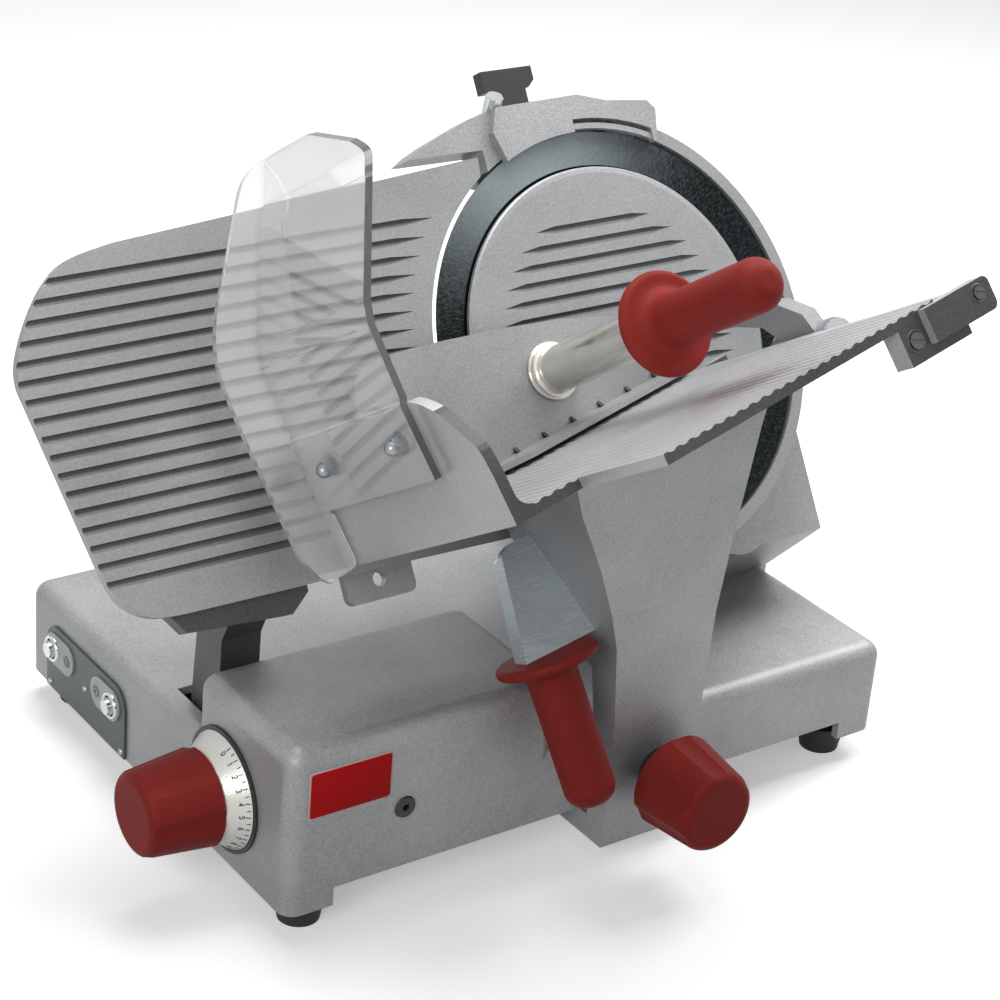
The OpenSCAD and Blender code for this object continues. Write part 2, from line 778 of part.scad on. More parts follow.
// A round groove along x from x1 to x2, in a face at z = 0. An end with a taper runs out.
module flute(x1, x2, taper1, taper2) {
  lift = flute_r - flute_deep;
  tip = lift/2;
  start = taper1 > 0 ? [[tip, x1], [flute_r, x1 + taper1]] : [[flute_r, x1]];
  end = taper2 > 0 ? [[flute_r, x2 - taper2], [tip, x2]] : [[flute_r, x2]];
  translate([0, 0, lift])
    rotate([0, 90, 0])
      rotate_extrude($fn = small_smooth)
        polygon(concat([[0, x1]], start, end, [[0, x2]]));
}

module blade_cover() color("#aeb0b2") blade_frame() difference() {
  rotate_extrude($fn = smooth*2)
    polygon([[0, cover_back], [cover_r, cover_back], [cover_r, cover_front - cover_rim],
      [cover_r - cover_rim, cover_front - cover_rim/4], [cover_r - 3*cover_rim, cover_front],
      [0, cover_front]]);
  for (i = [0:cover_flutes - 1]) {
    up = (i - (cover_flutes - 1)/2)*gauge_pitch;
    half = sqrt(flute_circle*flute_circle - up*up);
    translate([0, up, cover_front])
      flute(-half, half, flute_taper*2/3, flute_taper*2/3);
  }
  translate([0, 0, cover_back - overrun])
    cylinder(h = overrun*3/2, r = tie_r + fit_gap, $fn = small_smooth);
}

module tie_rod() color("#8f9295") blade_frame() {
  translate([0, 0, case_back - cover_sheet - rod_nut_r])
    cylinder(h = cover_back - case_back + cover_sheet + rod_nut_r + overrun/4, r = tie_r,
      $fn = small_smooth);
  translate([0, 0, case_back - cover_sheet - rod_nut_r*3/4])
    difference() {
      cylinder(h = rod_nut_r*3/4, r1 = rod_nut_r - overrun, r2 = rod_nut_r, $fn = smooth);
      for (a = [0:60:300])
        rotate([0, 0, a])
          translate([rod_nut_r*5/4, 0, -overrun])
            cylinder(h = rod_nut_r, r = rod_nut_r/3, $fn = small_smooth);
    }
}

// Graduated dial with its knob, turning on a shaft through the base's left face
bezel_r = 43.4;
bezel_in = 41.4;
bezel_thick = 2;
ring_base_r = 41;
ring_top_r = 30;
ring_start = 2.3;
knob_start = 17;
cam_r = 28;
cam_start = 26;
cam_thick = 8;
shaft_inner = 42;
bush_flange_r = 15;
bush_flange = 3;
module dial_frame() translate([base_left, dial_y, dial_z]) rotate([0, -90, 0]) children();

module dial_bezel() color("#26282a") dial_frame() tube(bezel_r, bezel_in - running_gap, bezel_thick);

module dial_bush() color("#33363a") dial_frame() difference() {
  union() {
    translate([0, 0, -wall])
      cylinder(h = wall + bezel_thick, r = bush_r - fit_gap, $fn = smooth);
    translate([0, 0, -wall - bush_flange])
      cylinder(h = bush_flange, r = bush_flange_r, $fn = smooth);
  }
  translate([0, 0, -wall - bush_flange - overrun])
    cylinder(h = wall + bush_flange + bezel_thick + 2*overrun, r = shaft_r + fit_gap, $fn = smooth);
}

module dial_ring() color("#c3c6c8") dial_frame() translate([0, 0, ring_start]) difference() {
  cylinder(h = knob_start - ring_start, r1 = ring_base_r - running_gap, r2 = ring_top_r, $fn = smooth*2);
  translate([0, 0, -overrun])
    cylinder(h = knob_start - ring_start + 2*overrun, r = shaft_r + fit_gap, $fn = smooth);
}

// Knob with shallow hollows round it and a softened end
knob_lobes = 6;
knob_taper = 0.87;
knob_edge = 7;
hollow_r = 24;
hollow_deep = 2;
function knob_outline() = let (top = knob_diameter/2*knob_taper - knob_edge, base = knob_diameter/2)
  concat([[0, 0], [base - knob_edge/4, 0], [base, knob_edge/4]],
    arc([top, knob_length - knob_edge], knob_edge, 0, 90, 8), [[0, knob_length]]);
module knob() difference() {
  rotate_extrude($fn = smooth)
    polygon(knob_outline());
  for (i = [0:knob_lobes - 1])
    rotate([0, 0, (i + 1/2)*360/knob_lobes])
      translate([knob_diameter/2 + hollow_r - hollow_deep, 0, -overrun])
        rotate([0, atan(-knob_diameter/2*(1 - knob_taper)/knob_length), 0])
          cylinder(h = knob_length*2, r = hollow_r, $fn = smooth);
}
module bored_knob() difference() {
  knob();
  translate([0, 0, -overrun])
    cylinder(h = knob_length/2, r = shaft_r + fit_gap, $fn = smooth);
}
module dial_knob() color("#6e2725") dial_frame() translate([0, 0, knob_start]) bored_knob();

module dial_shaft() color("#b9bcbe") dial_frame() {
  translate([0, 0, -shaft_inner])
    cylinder(h = shaft_inner + knob_start + knob_length/2 - 2*overrun, r = shaft_r, $fn = smooth);
  translate([0, 0, -cam_start - cam_thick])
    cylinder(h = cam_thick, r = cam_r, $fn = smooth);
}

// Gauge plate, its carrier through the deck and the slanted rod that guides it
gauge_top_right = [-80, 143];
gauge_low_right = [-105, -117];
gauge_shoulder = [[-365, 125], [-398, 119], [-416, 107], [-429, 92], [-440, 75], [-447, 60], [-449, 47],
  [-447, 35]];
gauge_corner = [[-425, -80], [-418, -98], [-401, -110], [-380, -113]];
gauge_outline = concat([gauge_top_right], curve(gauge_shoulder, 4), curve(gauge_corner, 4),
  [[-265, -114], gauge_low_right]);
gauge_first = 107;
gauge_tip = 13;
gauge_tip_r = ring_in + gauge_tip;
gauge_left = -460;
lug_left = -258;
lug_right = -205;
lug_low = -135;
lug_high = -108;
lug_hole_r = 5;
lug_thick = 6;
wing_outline = [[-385, -60], [-385, -112], [-376, -125], [-300, -130], [-285, -118], [-285, -60]];
wing_thick = 12;
gauge_screw_places = [[-374, -76], [-374, -100], [-338, -76], [-338, -100]];

module gauge_plate() color("#b2b4b6") blade_frame() difference() {
  union() {
    translate([0, 0, -gauge_thick])
      linear_extrude(gauge_thick)
        difference() {
          polygon(gauge_outline);
          circle(r = ring_in, $fn = smooth*2);
        }
    translate([lug_left, lug_low, -gauge_thick - lug_thick])
      linear_extrude(lug_thick)
        rounded_rect([lug_right - lug_left, lug_high - lug_low + lug_thick], lug_thick);
  }
  for (i = [0:gauge_flutes - 1]) {
    up = gauge_first - i*gauge_pitch;
    translate([0, up, 0])
      flute(gauge_left, -sqrt(gauge_tip_r*gauge_tip_r - up*up), 0, flute_taper);
  }
  translate([(lug_left + lug_right)/2, (lug_low + lug_high)/2, -gauge_thick - lug_thick - overrun])
    cylinder(h = lug_thick + 2*overrun, r = lug_hole_r, $fn = small_smooth);
  for (p = gauge_screw_places)
    translate([p[0], p[1], -gauge_thick - overrun])
      cylinder(h = gauge_thick/2 + overrun, r = guard_screw_r, $fn = small_smooth);
}

// The frame of the slanted rod, with z along the rod
module rod_frame() translate([arm_x + arm_width/2, gauge_rod_place[0], gauge_rod_place[1]])
  rotate([90 - blade_tilt, 0, 0])
    children();

module gauge_rod() color("#d2d4d6") rod_frame()
  translate([0, 0, gauge_rod_ends[0]])
    cylinder(h = gauge_rod_ends[1] - gauge_rod_ends[0], r = gauge_rod_r - fit_gap, $fn = smooth);

function by_rod(up, out) = gauge_rod_place + plane_yz(up, out);
bracket_half = arm_width/2 + slot_margin + bracket_side;
bracket_edge = 1;
module gauge_bracket() color("#8a8d90") difference() {
  union() {
    for (x = [-bracket_half, bracket_half - bracket_side])
      translate([arm_x + arm_width/2 + x, 0, 0])
        stand_up(bracket_side)
          polygon([by_rod(bracket_lift, gauge_rod_ends[1]), by_rod(-bracket_drop, gauge_rod_ends[1]),
            by_rod(-bracket_drop, gauge_rod_ends[0]), by_rod(bracket_lift, gauge_rod_ends[0]),
            [stem_back + bracket_drop, deck_z - wall], [stem_front, deck_z - wall]]);
    rod_frame()
      for (z = [gauge_rod_ends[0] + bracket_edge, gauge_rod_ends[1] - bracket_plate - bracket_edge])
        translate([-bracket_half + bracket_edge, -bracket_drop + bracket_edge, z])
          cube([2*bracket_half - 2*bracket_edge, bracket_lift + bracket_drop - bracket_edge*2, bracket_plate]);
  }
  rod_frame()
    translate([0, 0, gauge_rod_ends[0] - overrun])
      cylinder(h = gauge_rod_ends[1] - gauge_rod_ends[0] + 2*overrun, r = gauge_rod_r, $fn = smooth);
}

stem_up = 45;
stem_foot = base_bottom + stem_up;
arm_low = -105;
arm_high = -60;
arm_back = [[14, -150], [-10, -100]];
arm_front = [[-35, -115], [-18, -150]];
module gauge_arm() color("#6f7377") difference() {
  union() {
    translate([arm_x, 0, 0])
      stand_up(arm_width)
        polygon(concat([[stem_front + overrun, stem_foot], [stem_back - overrun, stem_foot],
          [stem_back, deck_z]], arm_back, [plane_yz(arm_high, -gauge_thick),
          plane_yz(arm_low, -gauge_thick)], arm_front, [[stem_front, deck_z]]));
    rod_frame()
      translate([0, 0, gauge_sleeve_ends[0]])
        cylinder(h = gauge_sleeve_ends[1] - gauge_sleeve_ends[0], r = gauge_sleeve_r, $fn = smooth);
    blade_frame()
      translate([0, 0, -gauge_thick - wing_thick])
        linear_extrude(wing_thick)
          polygon(wing_outline);
  }
  rod_frame()
    translate([0, 0, gauge_sleeve_ends[0] - 4*overrun])
      cylinder(h = gauge_sleeve_ends[1] - gauge_sleeve_ends[0] + 8*overrun, r = gauge_rod_r, $fn = smooth);
  blade_frame()
    for (p = gauge_screw_places)
      translate([p[0], p[1], -gauge_thick - wing_thick - overrun])
        cylinder(h = wing_thick + 2*overrun, r = guard_screw_r, $fn = small_smooth);
}
module gauge_screws() color("#8d9093") blade_frame()
  for (p = gauge_screw_places)
    translate([p[0], p[1], -gauge_thick - wing_thick])
      rotate([180, 0, 0])
        pan_screw(screw_head_r, screw_head_h, guard_screw_r, wing_thick + gauge_thick/2);

// Slider on the rod, with a pad for the column's foot and an arm to the shoe on the flat rail
slider_r = 21;
slider_length = 88;
foot_right = -37;
foot_left = foot_right - column_width;
foot_rise = [-10, 8, 18];
foot_low = base_bottom + foot_rise[0];
foot_high = base_bottom + foot_rise[1];
foot_back = -95;
pad_top = base_bottom + foot_rise[2];
slider_mid = (foot_left + foot_right)/2;
shoe_length = 40;
shoe_wall = 4;
shoe_gap = 0.2;
slider_arm_thick = 9;
module carriage_slider() color("#9da0a3") difference() {
  union() {
    translate([slider_mid - slider_length/2, rod_y, rod_z])
      rotate([0, 90, 0])
        cylinder(h = slider_length, r = slider_r, $fn = smooth);
    translate([foot_left, rod_y - slider_r*3/4, foot_high])
      cube([column_width, slider_r*3/2, pad_top - foot_high]);
    translate([slider_mid - shoe_length/2, rod_y, rail_top + shoe_gap + shoe_wall])
      cube([shoe_length, rail_y + rail_width - rod_y, slider_arm_thick]);
  }
  translate([slider_mid - slider_length, rod_y, rod_z])
    rotate([0, 90, 0])
      cylinder(h = 2*slider_length, r = rod_r, $fn = smooth);
}
module slide_shoe() color("#e2e0d8")
  translate([slider_mid - shoe_length/2, rail_y, rail_top - rail_thick])
    difference() {
      translate([0, -rail_width/2 - shoe_wall, -shoe_gap - shoe_wall])
        cube([shoe_length, rail_width + 2*shoe_wall, rail_thick + 2*shoe_gap + 2*shoe_wall]);
      translate([-overrun, -rail_width/2 - shoe_gap, -shoe_gap])
        cube([shoe_length + 2*overrun, rail_width + 2*shoe_gap, rail_thick + 2*shoe_gap]);
    }

// Column: a hollow casting between the foot and the tray, open to the back. Both sides sweep out
// to the left as they rise. Places are given from the foot's corner and the base's lower edge.
column_left = [[0, -10], [-2, 38], [-5, 93], [-14, 156], [-23, 185], [-37, 220], [-50, 247], [-60, 267],
  [-70, 295], [-82, 345]];
column_right = [[0, -10], [-1, 87], [-3, 166], [1, 232], [7, 303], [10, 325], [12, 345]];
column_reach = [19, 43.5, 2];
column_front_low = base_front - column_reach[0];
column_front_high = base_front - column_reach[1];
column_back = base_front - column_reach[2];
column_rise = [345, 127, 72];
column_top = base_bottom + column_rise[0];
column_step = base_bottom + column_rise[1];
column_hollow = base_bottom + column_rise[2];
column_gap = 8;
column_low_up = -165;
column_high_up = 60;
function sides(inset) = concat(
  [for (p = column_left) [foot_left + p[0] + inset, base_bottom + p[1]]],
  [for (i = [len(column_right) - 1:-1:0])
    [foot_right + column_right[i][0] - inset, base_bottom + column_right[i][1]]]);
module column_sides(inset) translate([0, -column_back, 0])
  rotate([90, 0, 0])
    linear_extrude(-4*column_back)
      polygon(sides(inset));
module column_outside() intersection() {
  column_sides(0);
  translate([foot_left*2, 0, 0])
    stand_up(-foot_left*3)
      polygon([[column_front_low, foot_low], [foot_back, foot_low], [foot_back, foot_high],
        [column_back, foot_high], [column_back, column_step], plane_yz(column_low_up, column_gap),
        plane_yz(column_high_up, column_gap), [column_front_high, column_top]]);
}
module above_tray(drop) tray_frame()
  translate([-tray_length, -floor_thick - drop, -tray_floor_depth])
    cube([3*tray_length, tray_length, 3*tray_floor_depth]);
module column() color("#8f9194") difference() {
  column_outside();
  above_tray(0);
  difference() {
    intersection() {
      column_sides(wall);
      translate([foot_left*2, 0, 0])
        stand_up(-foot_left*3)
          polygon([[column_front_low + wall/2, column_hollow], [0, column_hollow],
            [-column_top, column_top], [column_front_high + wall, column_top]]);
    }
    above_tray(wall);
  }
  lock_frame()
    translate([0, 0, -lock_depth])
      cylinder(h = lock_depth + 4*overrun, r = lock_r + fit_gap, $fn = small_smooth);
}

// Carriage handle: a wedge from the column's left side to a round grip with a collar
bracket_lean = 39;
bracket_thick = 14;
bracket_face = [[-130, -122], [-150, -125], [-160, -127], [-167, -134], [-185, -215], [-136, -215],
  [-105, -178]];
grip_centre = [-165, -157, -131];
grip_lean = 151.6;
grip_way = -71.6;
module grip_frame() translate(grip_centre) rotate([0, grip_lean, grip_way]) children();

module handle_bracket() color("#8d999b") difference() {
  rotate([bracket_lean, 0, 0])
    translate([0, 0, -bracket_thick])
      linear_extrude(bracket_thick)
        polygon(bracket_face);
  column_outside();
  grip_frame()
    cylinder(h = grip_length, r = 2*collar_diameter, $fn = smooth);
}

// A grip standing on z = 0: a thin collar with a round rim, a throat and a bar with a round end
collar_rim = 4;
throat_r = 9;
grip_end_r = 13;
function grip_outline(length) = let (rim = collar_diameter/2, bar = grip_diameter/2)
  concat([[0, 0]], arc([rim - collar_rim, collar_rim], collar_rim, -90, 90, 8),
    arc([bar + throat_r, 2*collar_rim + throat_r], throat_r, 270, 180, 6),
    arc([bar - grip_end_r, length - grip_end_r], grip_end_r, 0, 90, 8), [[0, length]]);
module grip(length) rotate_extrude($fn = smooth) polygon(grip_outline(length));
module handle_grip() color("#7a2f2a") grip_frame() grip(grip_length);

// Lock knob at the column's foot
lock_place = [3, 24.5];
lock_x = slider_mid + lock_place[0];
lock_y = base_front - lock_place[1];
lock_up = 47;
lock_z = base_bottom + lock_up;
lock_r = 5;
lock_depth = 18;
lock_collar_r = 16;
lock_collar = 16.5;
module lock_frame() translate([lock_x, lock_y, lock_z]) rotate([90, 0, 0]) children();
module lock_stem() color("#222222") lock_frame() {
  translate([0, 0, -lock_depth + overrun])
    cylinder(h = lock_depth, r = lock_r, $fn = small_smooth);
  rotate_extrude($fn = smooth)
    polygon([[0, 0], [lock_collar_r, 0], [lock_collar_r, lock_collar/4],
      [lock_collar_r*3/4, lock_collar/2], [lock_collar_r*3/4, lock_collar], [0, lock_collar]]);
}
module lock_knob() color("#6e2725") lock_frame() translate([0, 0, lock_collar]) knob();

// Tray: a fluted floor and a smooth wall in one casting, with the ear and lug of the pusher's rod
floor_thick = 7;
wall_thick = 8;
tray_inner = 6;
tray_step = 45;
floor_cut = [11, 136];
floor_end = tray_length - floor_cut[0];
floor_round = tray_floor_depth - floor_cut[1];
corner_r = 10;
first_flute = 12;
floor_flutes = floor((tray_length - 2*first_flute)/tray_pitch);
tray_flute_r = 6;
tray_flute_deep = 1.2;
push_rod_r = 5.5;
rod_out = 20;
push_rod_place = [tray_length + rod_out, -10];
ear_reach = [26, 32, 6];
ear_left = tray_length - ear_reach[0];
ear_right = tray_length + ear_reach[1];
ear_low = -24;
ear_start = tray_floor_depth - ear_reach[2];
ear_thick = 12;
inner_lug_start = 30;
inner_lug_thick = 10;
lug_in = 47;
lug_start = tray_length - lug_in;
seat_low = -31;
seat_thick = 9;

tray_top_bend = [[1, 0.77], [0.95, 0.82], [0.84, 0.885], [0.7, 0.93], [0.6, 0.965], [0.5, 0.99], [0.3, 1]];
function tray_top() = [for (p = curve(tray_top_bend, 3)) [tray_wall_height*p[0], tray_wall_depth*p[1]]];

module tray() color("#b0b2b4") tray_frame() difference() {
  union() {
    lay_flat(floor_thick)
      polygon([[-wall_thick, tray_inner], [tray_length, tray_inner], [tray_length, floor_round],
        [floor_end, tray_floor_depth], [tray_step, tray_floor_depth], [tray_step, tray_wall_depth],
        [-wall_thick, tray_wall_depth]]);
    translate([-wall_thick, 0, 0])
      stand_up(wall_thick)
        polygon(concat([[-floor_thick, tray_inner], [tray_wall_height, tray_inner]], tray_top(),
          [[-floor_thick, tray_wall_depth]]));
    // Fillet between the floor and the wall
    translate([0, 0, tray_inner])
      linear_extrude(tray_wall_depth - tray_inner)
        difference() {
          translate([-wall_thick/2, -floor_thick/2])
            square([corner_r + wall_thick/2, corner_r + floor_thick/2]);
          translate([corner_r, corner_r])
            circle(r = corner_r, $fn = smooth);
        }
    // Ear, screw lug and inner lug
    translate([ear_left, 0, 0])
      stand_up(ear_right - ear_left)
        polygon([[ear_low, ear_start], [-floor_thick/4, ear_start], [-floor_thick/4, ear_start + ear_thick],
          [ear_low, ear_start + ear_thick]]);
    translate([tray_length - wall_thick, ear_low, inner_lug_start])
      cube([ear_right - tray_length + wall_thick, -ear_low - floor_thick/4, inner_lug_thick]);
    translate([lug_start, seat_low, ear_start - seat_thick])
      cube([ear_right - lug_start - ear_thick*2, -seat_low - floor_thick/2, seat_thick + ear_thick/2]);
  }
  for (i = [0:floor_flutes])
    translate([first_flute + i*tray_pitch, tray_flute_r - tray_flute_deep, 0])
      cylinder(h = 2*tray_floor_depth, r = tray_flute_r, $fn = small_smooth);
  translate([push_rod_place[0], push_rod_place[1], 0])
    cylinder(h = 2*tray_floor_depth, r = push_rod_r, $fn = small_smooth);
  // Round corners of the ear
  for (p = [[ear_right, -floor_thick/4], [ear_right, ear_low]])
    translate([p[0] - corner_r/2, p[1], ear_start - overrun])
      mirror([0, p[1] > ear_low ? 0 : 1, 0])
        linear_extrude(2*ear_thick)
          difference() {
            translate([0, -corner_r/2])
              square([corner_r, corner_r]);
            translate([0, -corner_r/2])
              circle(r = corner_r/2, $fn = small_smooth);
          }
}

// Rod of the pusher under the tray's right edge
module pusher_rod() color("#d2d4d6") tray_frame()
  translate([push_rod_place[0], push_rod_place[1], inner_lug_start])
    cylinder(h = ear_start + ear_thick - inner_lug_start, r = push_rod_r - fit_gap, $fn = small_smooth);

// Clear hand guard: a bent sheet on the tray's wall and a band along the gauge plate
guard_thick = 5;
guard_face = [[-17, 34], [-17, 83], [-15, 87], [-13, 134], [-8.7, 148], [10, 180], [30, 214], [41, 227],
  [56, 254]];
guard_slope = [1, -0.3];
guard_start = 22;
guard_end = 169;
guard_corner = [[212, 169], [227, 161], [237, 143]];
guard_trim = concat([[34, 20], [34, 169]], curve(guard_corner, 4), [[256, 79], [253, 20]]);
band_bend = [[-44, 105], [-39.6, 145], [-26, 174], [-4, 200.4]];
band_top = [[16, 224.4], [26, 237], [38, 248], [56, 254]];
band_edge = concat([[-39, -2.5], [-46, 15]], curve(band_bend, 4), curve(band_top, 3));
band_foot = [[-14, 34], [-10.5, 30], [-10.5, -2], [-13, -6], [-34, -8]];
nut_places = [[61, 60], [61, 148]];
nut_r = 5;
nut_bolt_r = 3;
washer_r = 8;
washer_thick = 4;
module hand_guard() color("#cfd6d8") tray_frame() difference() {
  union() {
    intersection() {
      translate([0, 0, guard_start])
        linear_extrude(guard_end - guard_start)
          polygon(concat(guard_face, [for (i = [len(guard_face) - 1:-1:0])
            guard_face[i] + guard_thick*guard_slope]));
      translate([-tray_length, 0, 0])
        stand_up(2*tray_length)
          polygon(guard_trim);
    }
    translate([0, 0, guard_start])
      linear_extrude(guard_thick)
        polygon(concat(band_edge, [for (i = [len(guard_face) - 1:-1:0])
          guard_face[i] + guard_thick*guard_slope/2], band_foot));
  }
  for (p = nut_places)
    translate([-tray_length/2, p[0], p[1]])
      rotate([0, 90, 0])
        cylinder(h = tray_length, r = nut_bolt_r, $fn = small_smooth);
}

// Cap nuts and washers that hold the guard
module guard_nuts() color("#8a8d8f") tray_frame()
  for (p = nut_places)
    translate([guard_face[0][0], p[0], p[1]])
      rotate([0, -90, 0]) {
        cylinder(h = nut_r, r = nut_r*6/5, $fn = 6);
        difference() {
          translate([0, 0, nut_r])
            sphere(r = nut_r, $fn = smooth);
          translate([-nut_r*2, -nut_r*2, -nut_r*2])
            cube([nut_r*4, nut_r*4, nut_r*3]);
        }
        translate([0, 0, -guard_thick])
          cylinder(h = guard_thick, r = nut_bolt_r - fit_gap, $fn = small_smooth);
        translate([0, 0, -guard_thick - washer_thick])
          cylinder(h = washer_thick, r = washer_r, $fn = smooth);
      }

// Pusher: a sleeve that slides on the rod, and a plate with an arm and handle that swings on it
sleeve_start = 115;
sleeve_end = 175;
sleeve_r = 8;
sleeve_flange_r = 12;
sleeve_flange = 4;
hub_r = 13;
plate_start = 18;
plate_thick = 4;
toe_end = 55;
toe_low = 3;
toe_thick = 4;
push_outline = [[30, 6], [285, 6], [298, 12], [305, 24], [305, 38], [281, 50], [249, 62], [218, 73],
  [170, 86], [122, 97], [92, 102.5], [72, 105], [61, 104.5], [52, 99], [46, 92], [30, 30]];
toe_left = 100;
toe_right = 285;
push_arm_left = 298;
push_arm_width = 12;
push_arm = [[plate_start, 38], [60, 34], [110, 30], [140, 24], [160, 12], [166, -6], [160, -10], [128, -10],
  [126, 2], [116, 12], [90, 18], [60, 20], [plate_start, 18]];
handle_place = [192.6, 44.2, 22];
handle_rise = 2.4;
hook_count = 7;
hook_first = 112;
hook_pitch = 26;
hook_size = 5;
function swap(points) = [for (p = points) [p[1], p[0]]];

module pusher_slider() color("#b9bcbe") tray_frame()
  translate([push_rod_place[0], push_rod_place[1], sleeve_start])
    difference() {
      union() {
        cylinder(h = sleeve_end - sleeve_start, r = sleeve_r, $fn = smooth);
        for (z = [0, sleeve_end - sleeve_start - sleeve_flange])
          translate([0, 0, z])
            cylinder(h = sleeve_flange, r = sleeve_flange_r, $fn = smooth);
      }
      translate([0, 0, -overrun])
        cylinder(h = sleeve_end - sleeve_start + 2*overrun, r = push_rod_r, $fn = smooth);
    }

module pusher_plate() color("#a4a6a9") tray_frame() difference() {
  union() {
    translate([0, 0, plate_start])
      linear_extrude(plate_thick)
        polygon(push_outline);
    lay_toe();
    translate([push_arm_left, 0, 0])
      stand_up(push_arm_width)
        polygon(swap(push_arm));
    translate([push_rod_place[0], push_rod_place[1], sleeve_start + sleeve_flange + running_gap/2])
      cylinder(h = sleeve_end - sleeve_start - 2*sleeve_flange - running_gap, r = hub_r, $fn = smooth);
    // Small hooks along the foot that hold the last of the food
    for (i = [0:hook_count - 1])
      translate([hook_first + i*hook_pitch, toe_low + toe_thick, plate_start + plate_thick - overrun/2])
        rotate([0, 90, 0])
          translate([0, 0, -hook_size/4])
            linear_extrude(hook_size/2)
              polygon([[0, -overrun], [0, hook_size], [-hook_size*3/2, -overrun]]);
  }
  translate([push_rod_place[0], push_rod_place[1], sleeve_start])
    cylinder(h = sleeve_end - sleeve_start, r = sleeve_r + fit_gap, $fn = smooth);
}
module lay_toe() translate([0, toe_low + toe_thick, 0])
  lay_flat(toe_thick)
    polygon([[toe_left - toe_end/2, plate_start], [toe_right, plate_start], [toe_right, toe_end*3/4],
      [toe_right - toe_end/3, toe_end], [toe_left + toe_end/2, toe_end], [toe_left, toe_end*3/4]]);

// Polished sleeve with a bell foot, and the grip beyond it
bell_r = 20.5;
bell_rim = 3;
bell_throat = 6;
push_sleeve_r = 16;
push_sleeve_length = 134;
module handle_frame() tray_frame() translate(handle_place) rotate([-handle_rise, 0, 0]) children();
module pusher_sleeve() color("#d0cec6") handle_frame() difference() {
  rotate_extrude($fn = smooth)
    polygon(concat([[0, fit_gap], [bell_r - bell_rim/2, fit_gap]],
      arc([bell_r - bell_rim/2, bell_rim/2 + fit_gap], bell_rim/2, -90, 90, 6),
      arc([push_sleeve_r + bell_throat/2, bell_rim + bell_throat], bell_throat/2, 270, 180, 6),
      [[push_sleeve_r, push_sleeve_length], [0, push_sleeve_length]]));
  tray_cut();
}
module tray_cut() rotate([handle_rise, 0, 0])
  translate([-bell_r*2, -bell_r*2, -bell_r*2])
    cube([bell_r*4, bell_r*4, bell_r*2]);
module pusher_grip() color("#6e2725") handle_frame()
  translate([0, 0, push_sleeve_length])
    grip(pusher_grip_length + 2*collar_rim);

// Sharpener above the blade: a body with a slot for the blade, a hood, two stones, a knob and a button
// Heights here are above the blade's edge
function over_edge(points) = [for (p = points) p + [0, blade_r]];
sharp_top = over_edge([[-61, 24], [-30, 24.5], [9, 25], [33, 18], [68, 14], [74, 7]]);
sharp_outline = concat(over_edge([[-58, -30], [-76, -24], [-76, -3], [-136, -2], [-125, 4], [-110, 10],
  [-80, 20]]), sharp_top, over_edge([[69, 1.5], [59, -10], [54, -22], [0, -16]]));
hood_left = over_edge([[0, -16], [-61, -16], [-68, 7]]);
hood_right = over_edge([[69, -16]]);
sharp_back = -25;
slot_back = -14;
slot_front = 2;
slot_gap = 2;
slot_r = blade_r + slot_gap;
hood_front = 8;
hood_lap = 1;
hood_inner_r = blade_r - hood_lap;
mouth_left = 0;
mouth_right = 66;
mouth_depth = 10;
mouth_wide = 8;
mouth_outer_r = blade_r + mouth_wide;
strip_wide = [1, 5];
strip_inner_r = blade_r + strip_wide[0];
strip_outer_r = blade_r + strip_wide[1];
strip_back = 1.5;
front_stone_place = [33, blade_r + mouth_wide];
rear_stone_place = [-25, blade_r - 2*slot_gap];
front_stone_back = -8;
rear_stone_back = -24;
stone_r = 9.5;
stone_thick = 9;
stone_pin_r = 3;
tab_outline = over_edge([[40, 12], [74, 7], [100, -28], [90, -46], [56, -22]]);
tab_thick = 8;
button_collar_r = 9.5;
button_pin_r = 6.5;
button_place = [-57, blade_r + 2*mouth_wide, -12];
button_lean = 45;
button_length = 24;
button_travel = 4;
wing_up = 25;
wing_place = [-36, blade_r + wing_up, -10];
wing_stem = [24, 12, 12];
wing_head = [43, 10, 15];
wing_pin_r = 4;
wing_pin = 14;

module button_frame() translate(button_place) rotate([-button_lean, 0, 0]) children();
module wing_frame() translate(wing_place) rotate([-90, 0, 0]) children();
// A ring sector between x1 and x2 above the blade, standing on z = 0
module mouth_part(r1, r2, height) linear_extrude(height) intersection() {
  difference() {
    circle(r = r2, $fn = smooth*2);
    circle(r = r1, $fn = smooth*2);
  }
  translate([mouth_left, 0])
    square([mouth_right - mouth_left, r2]);
}

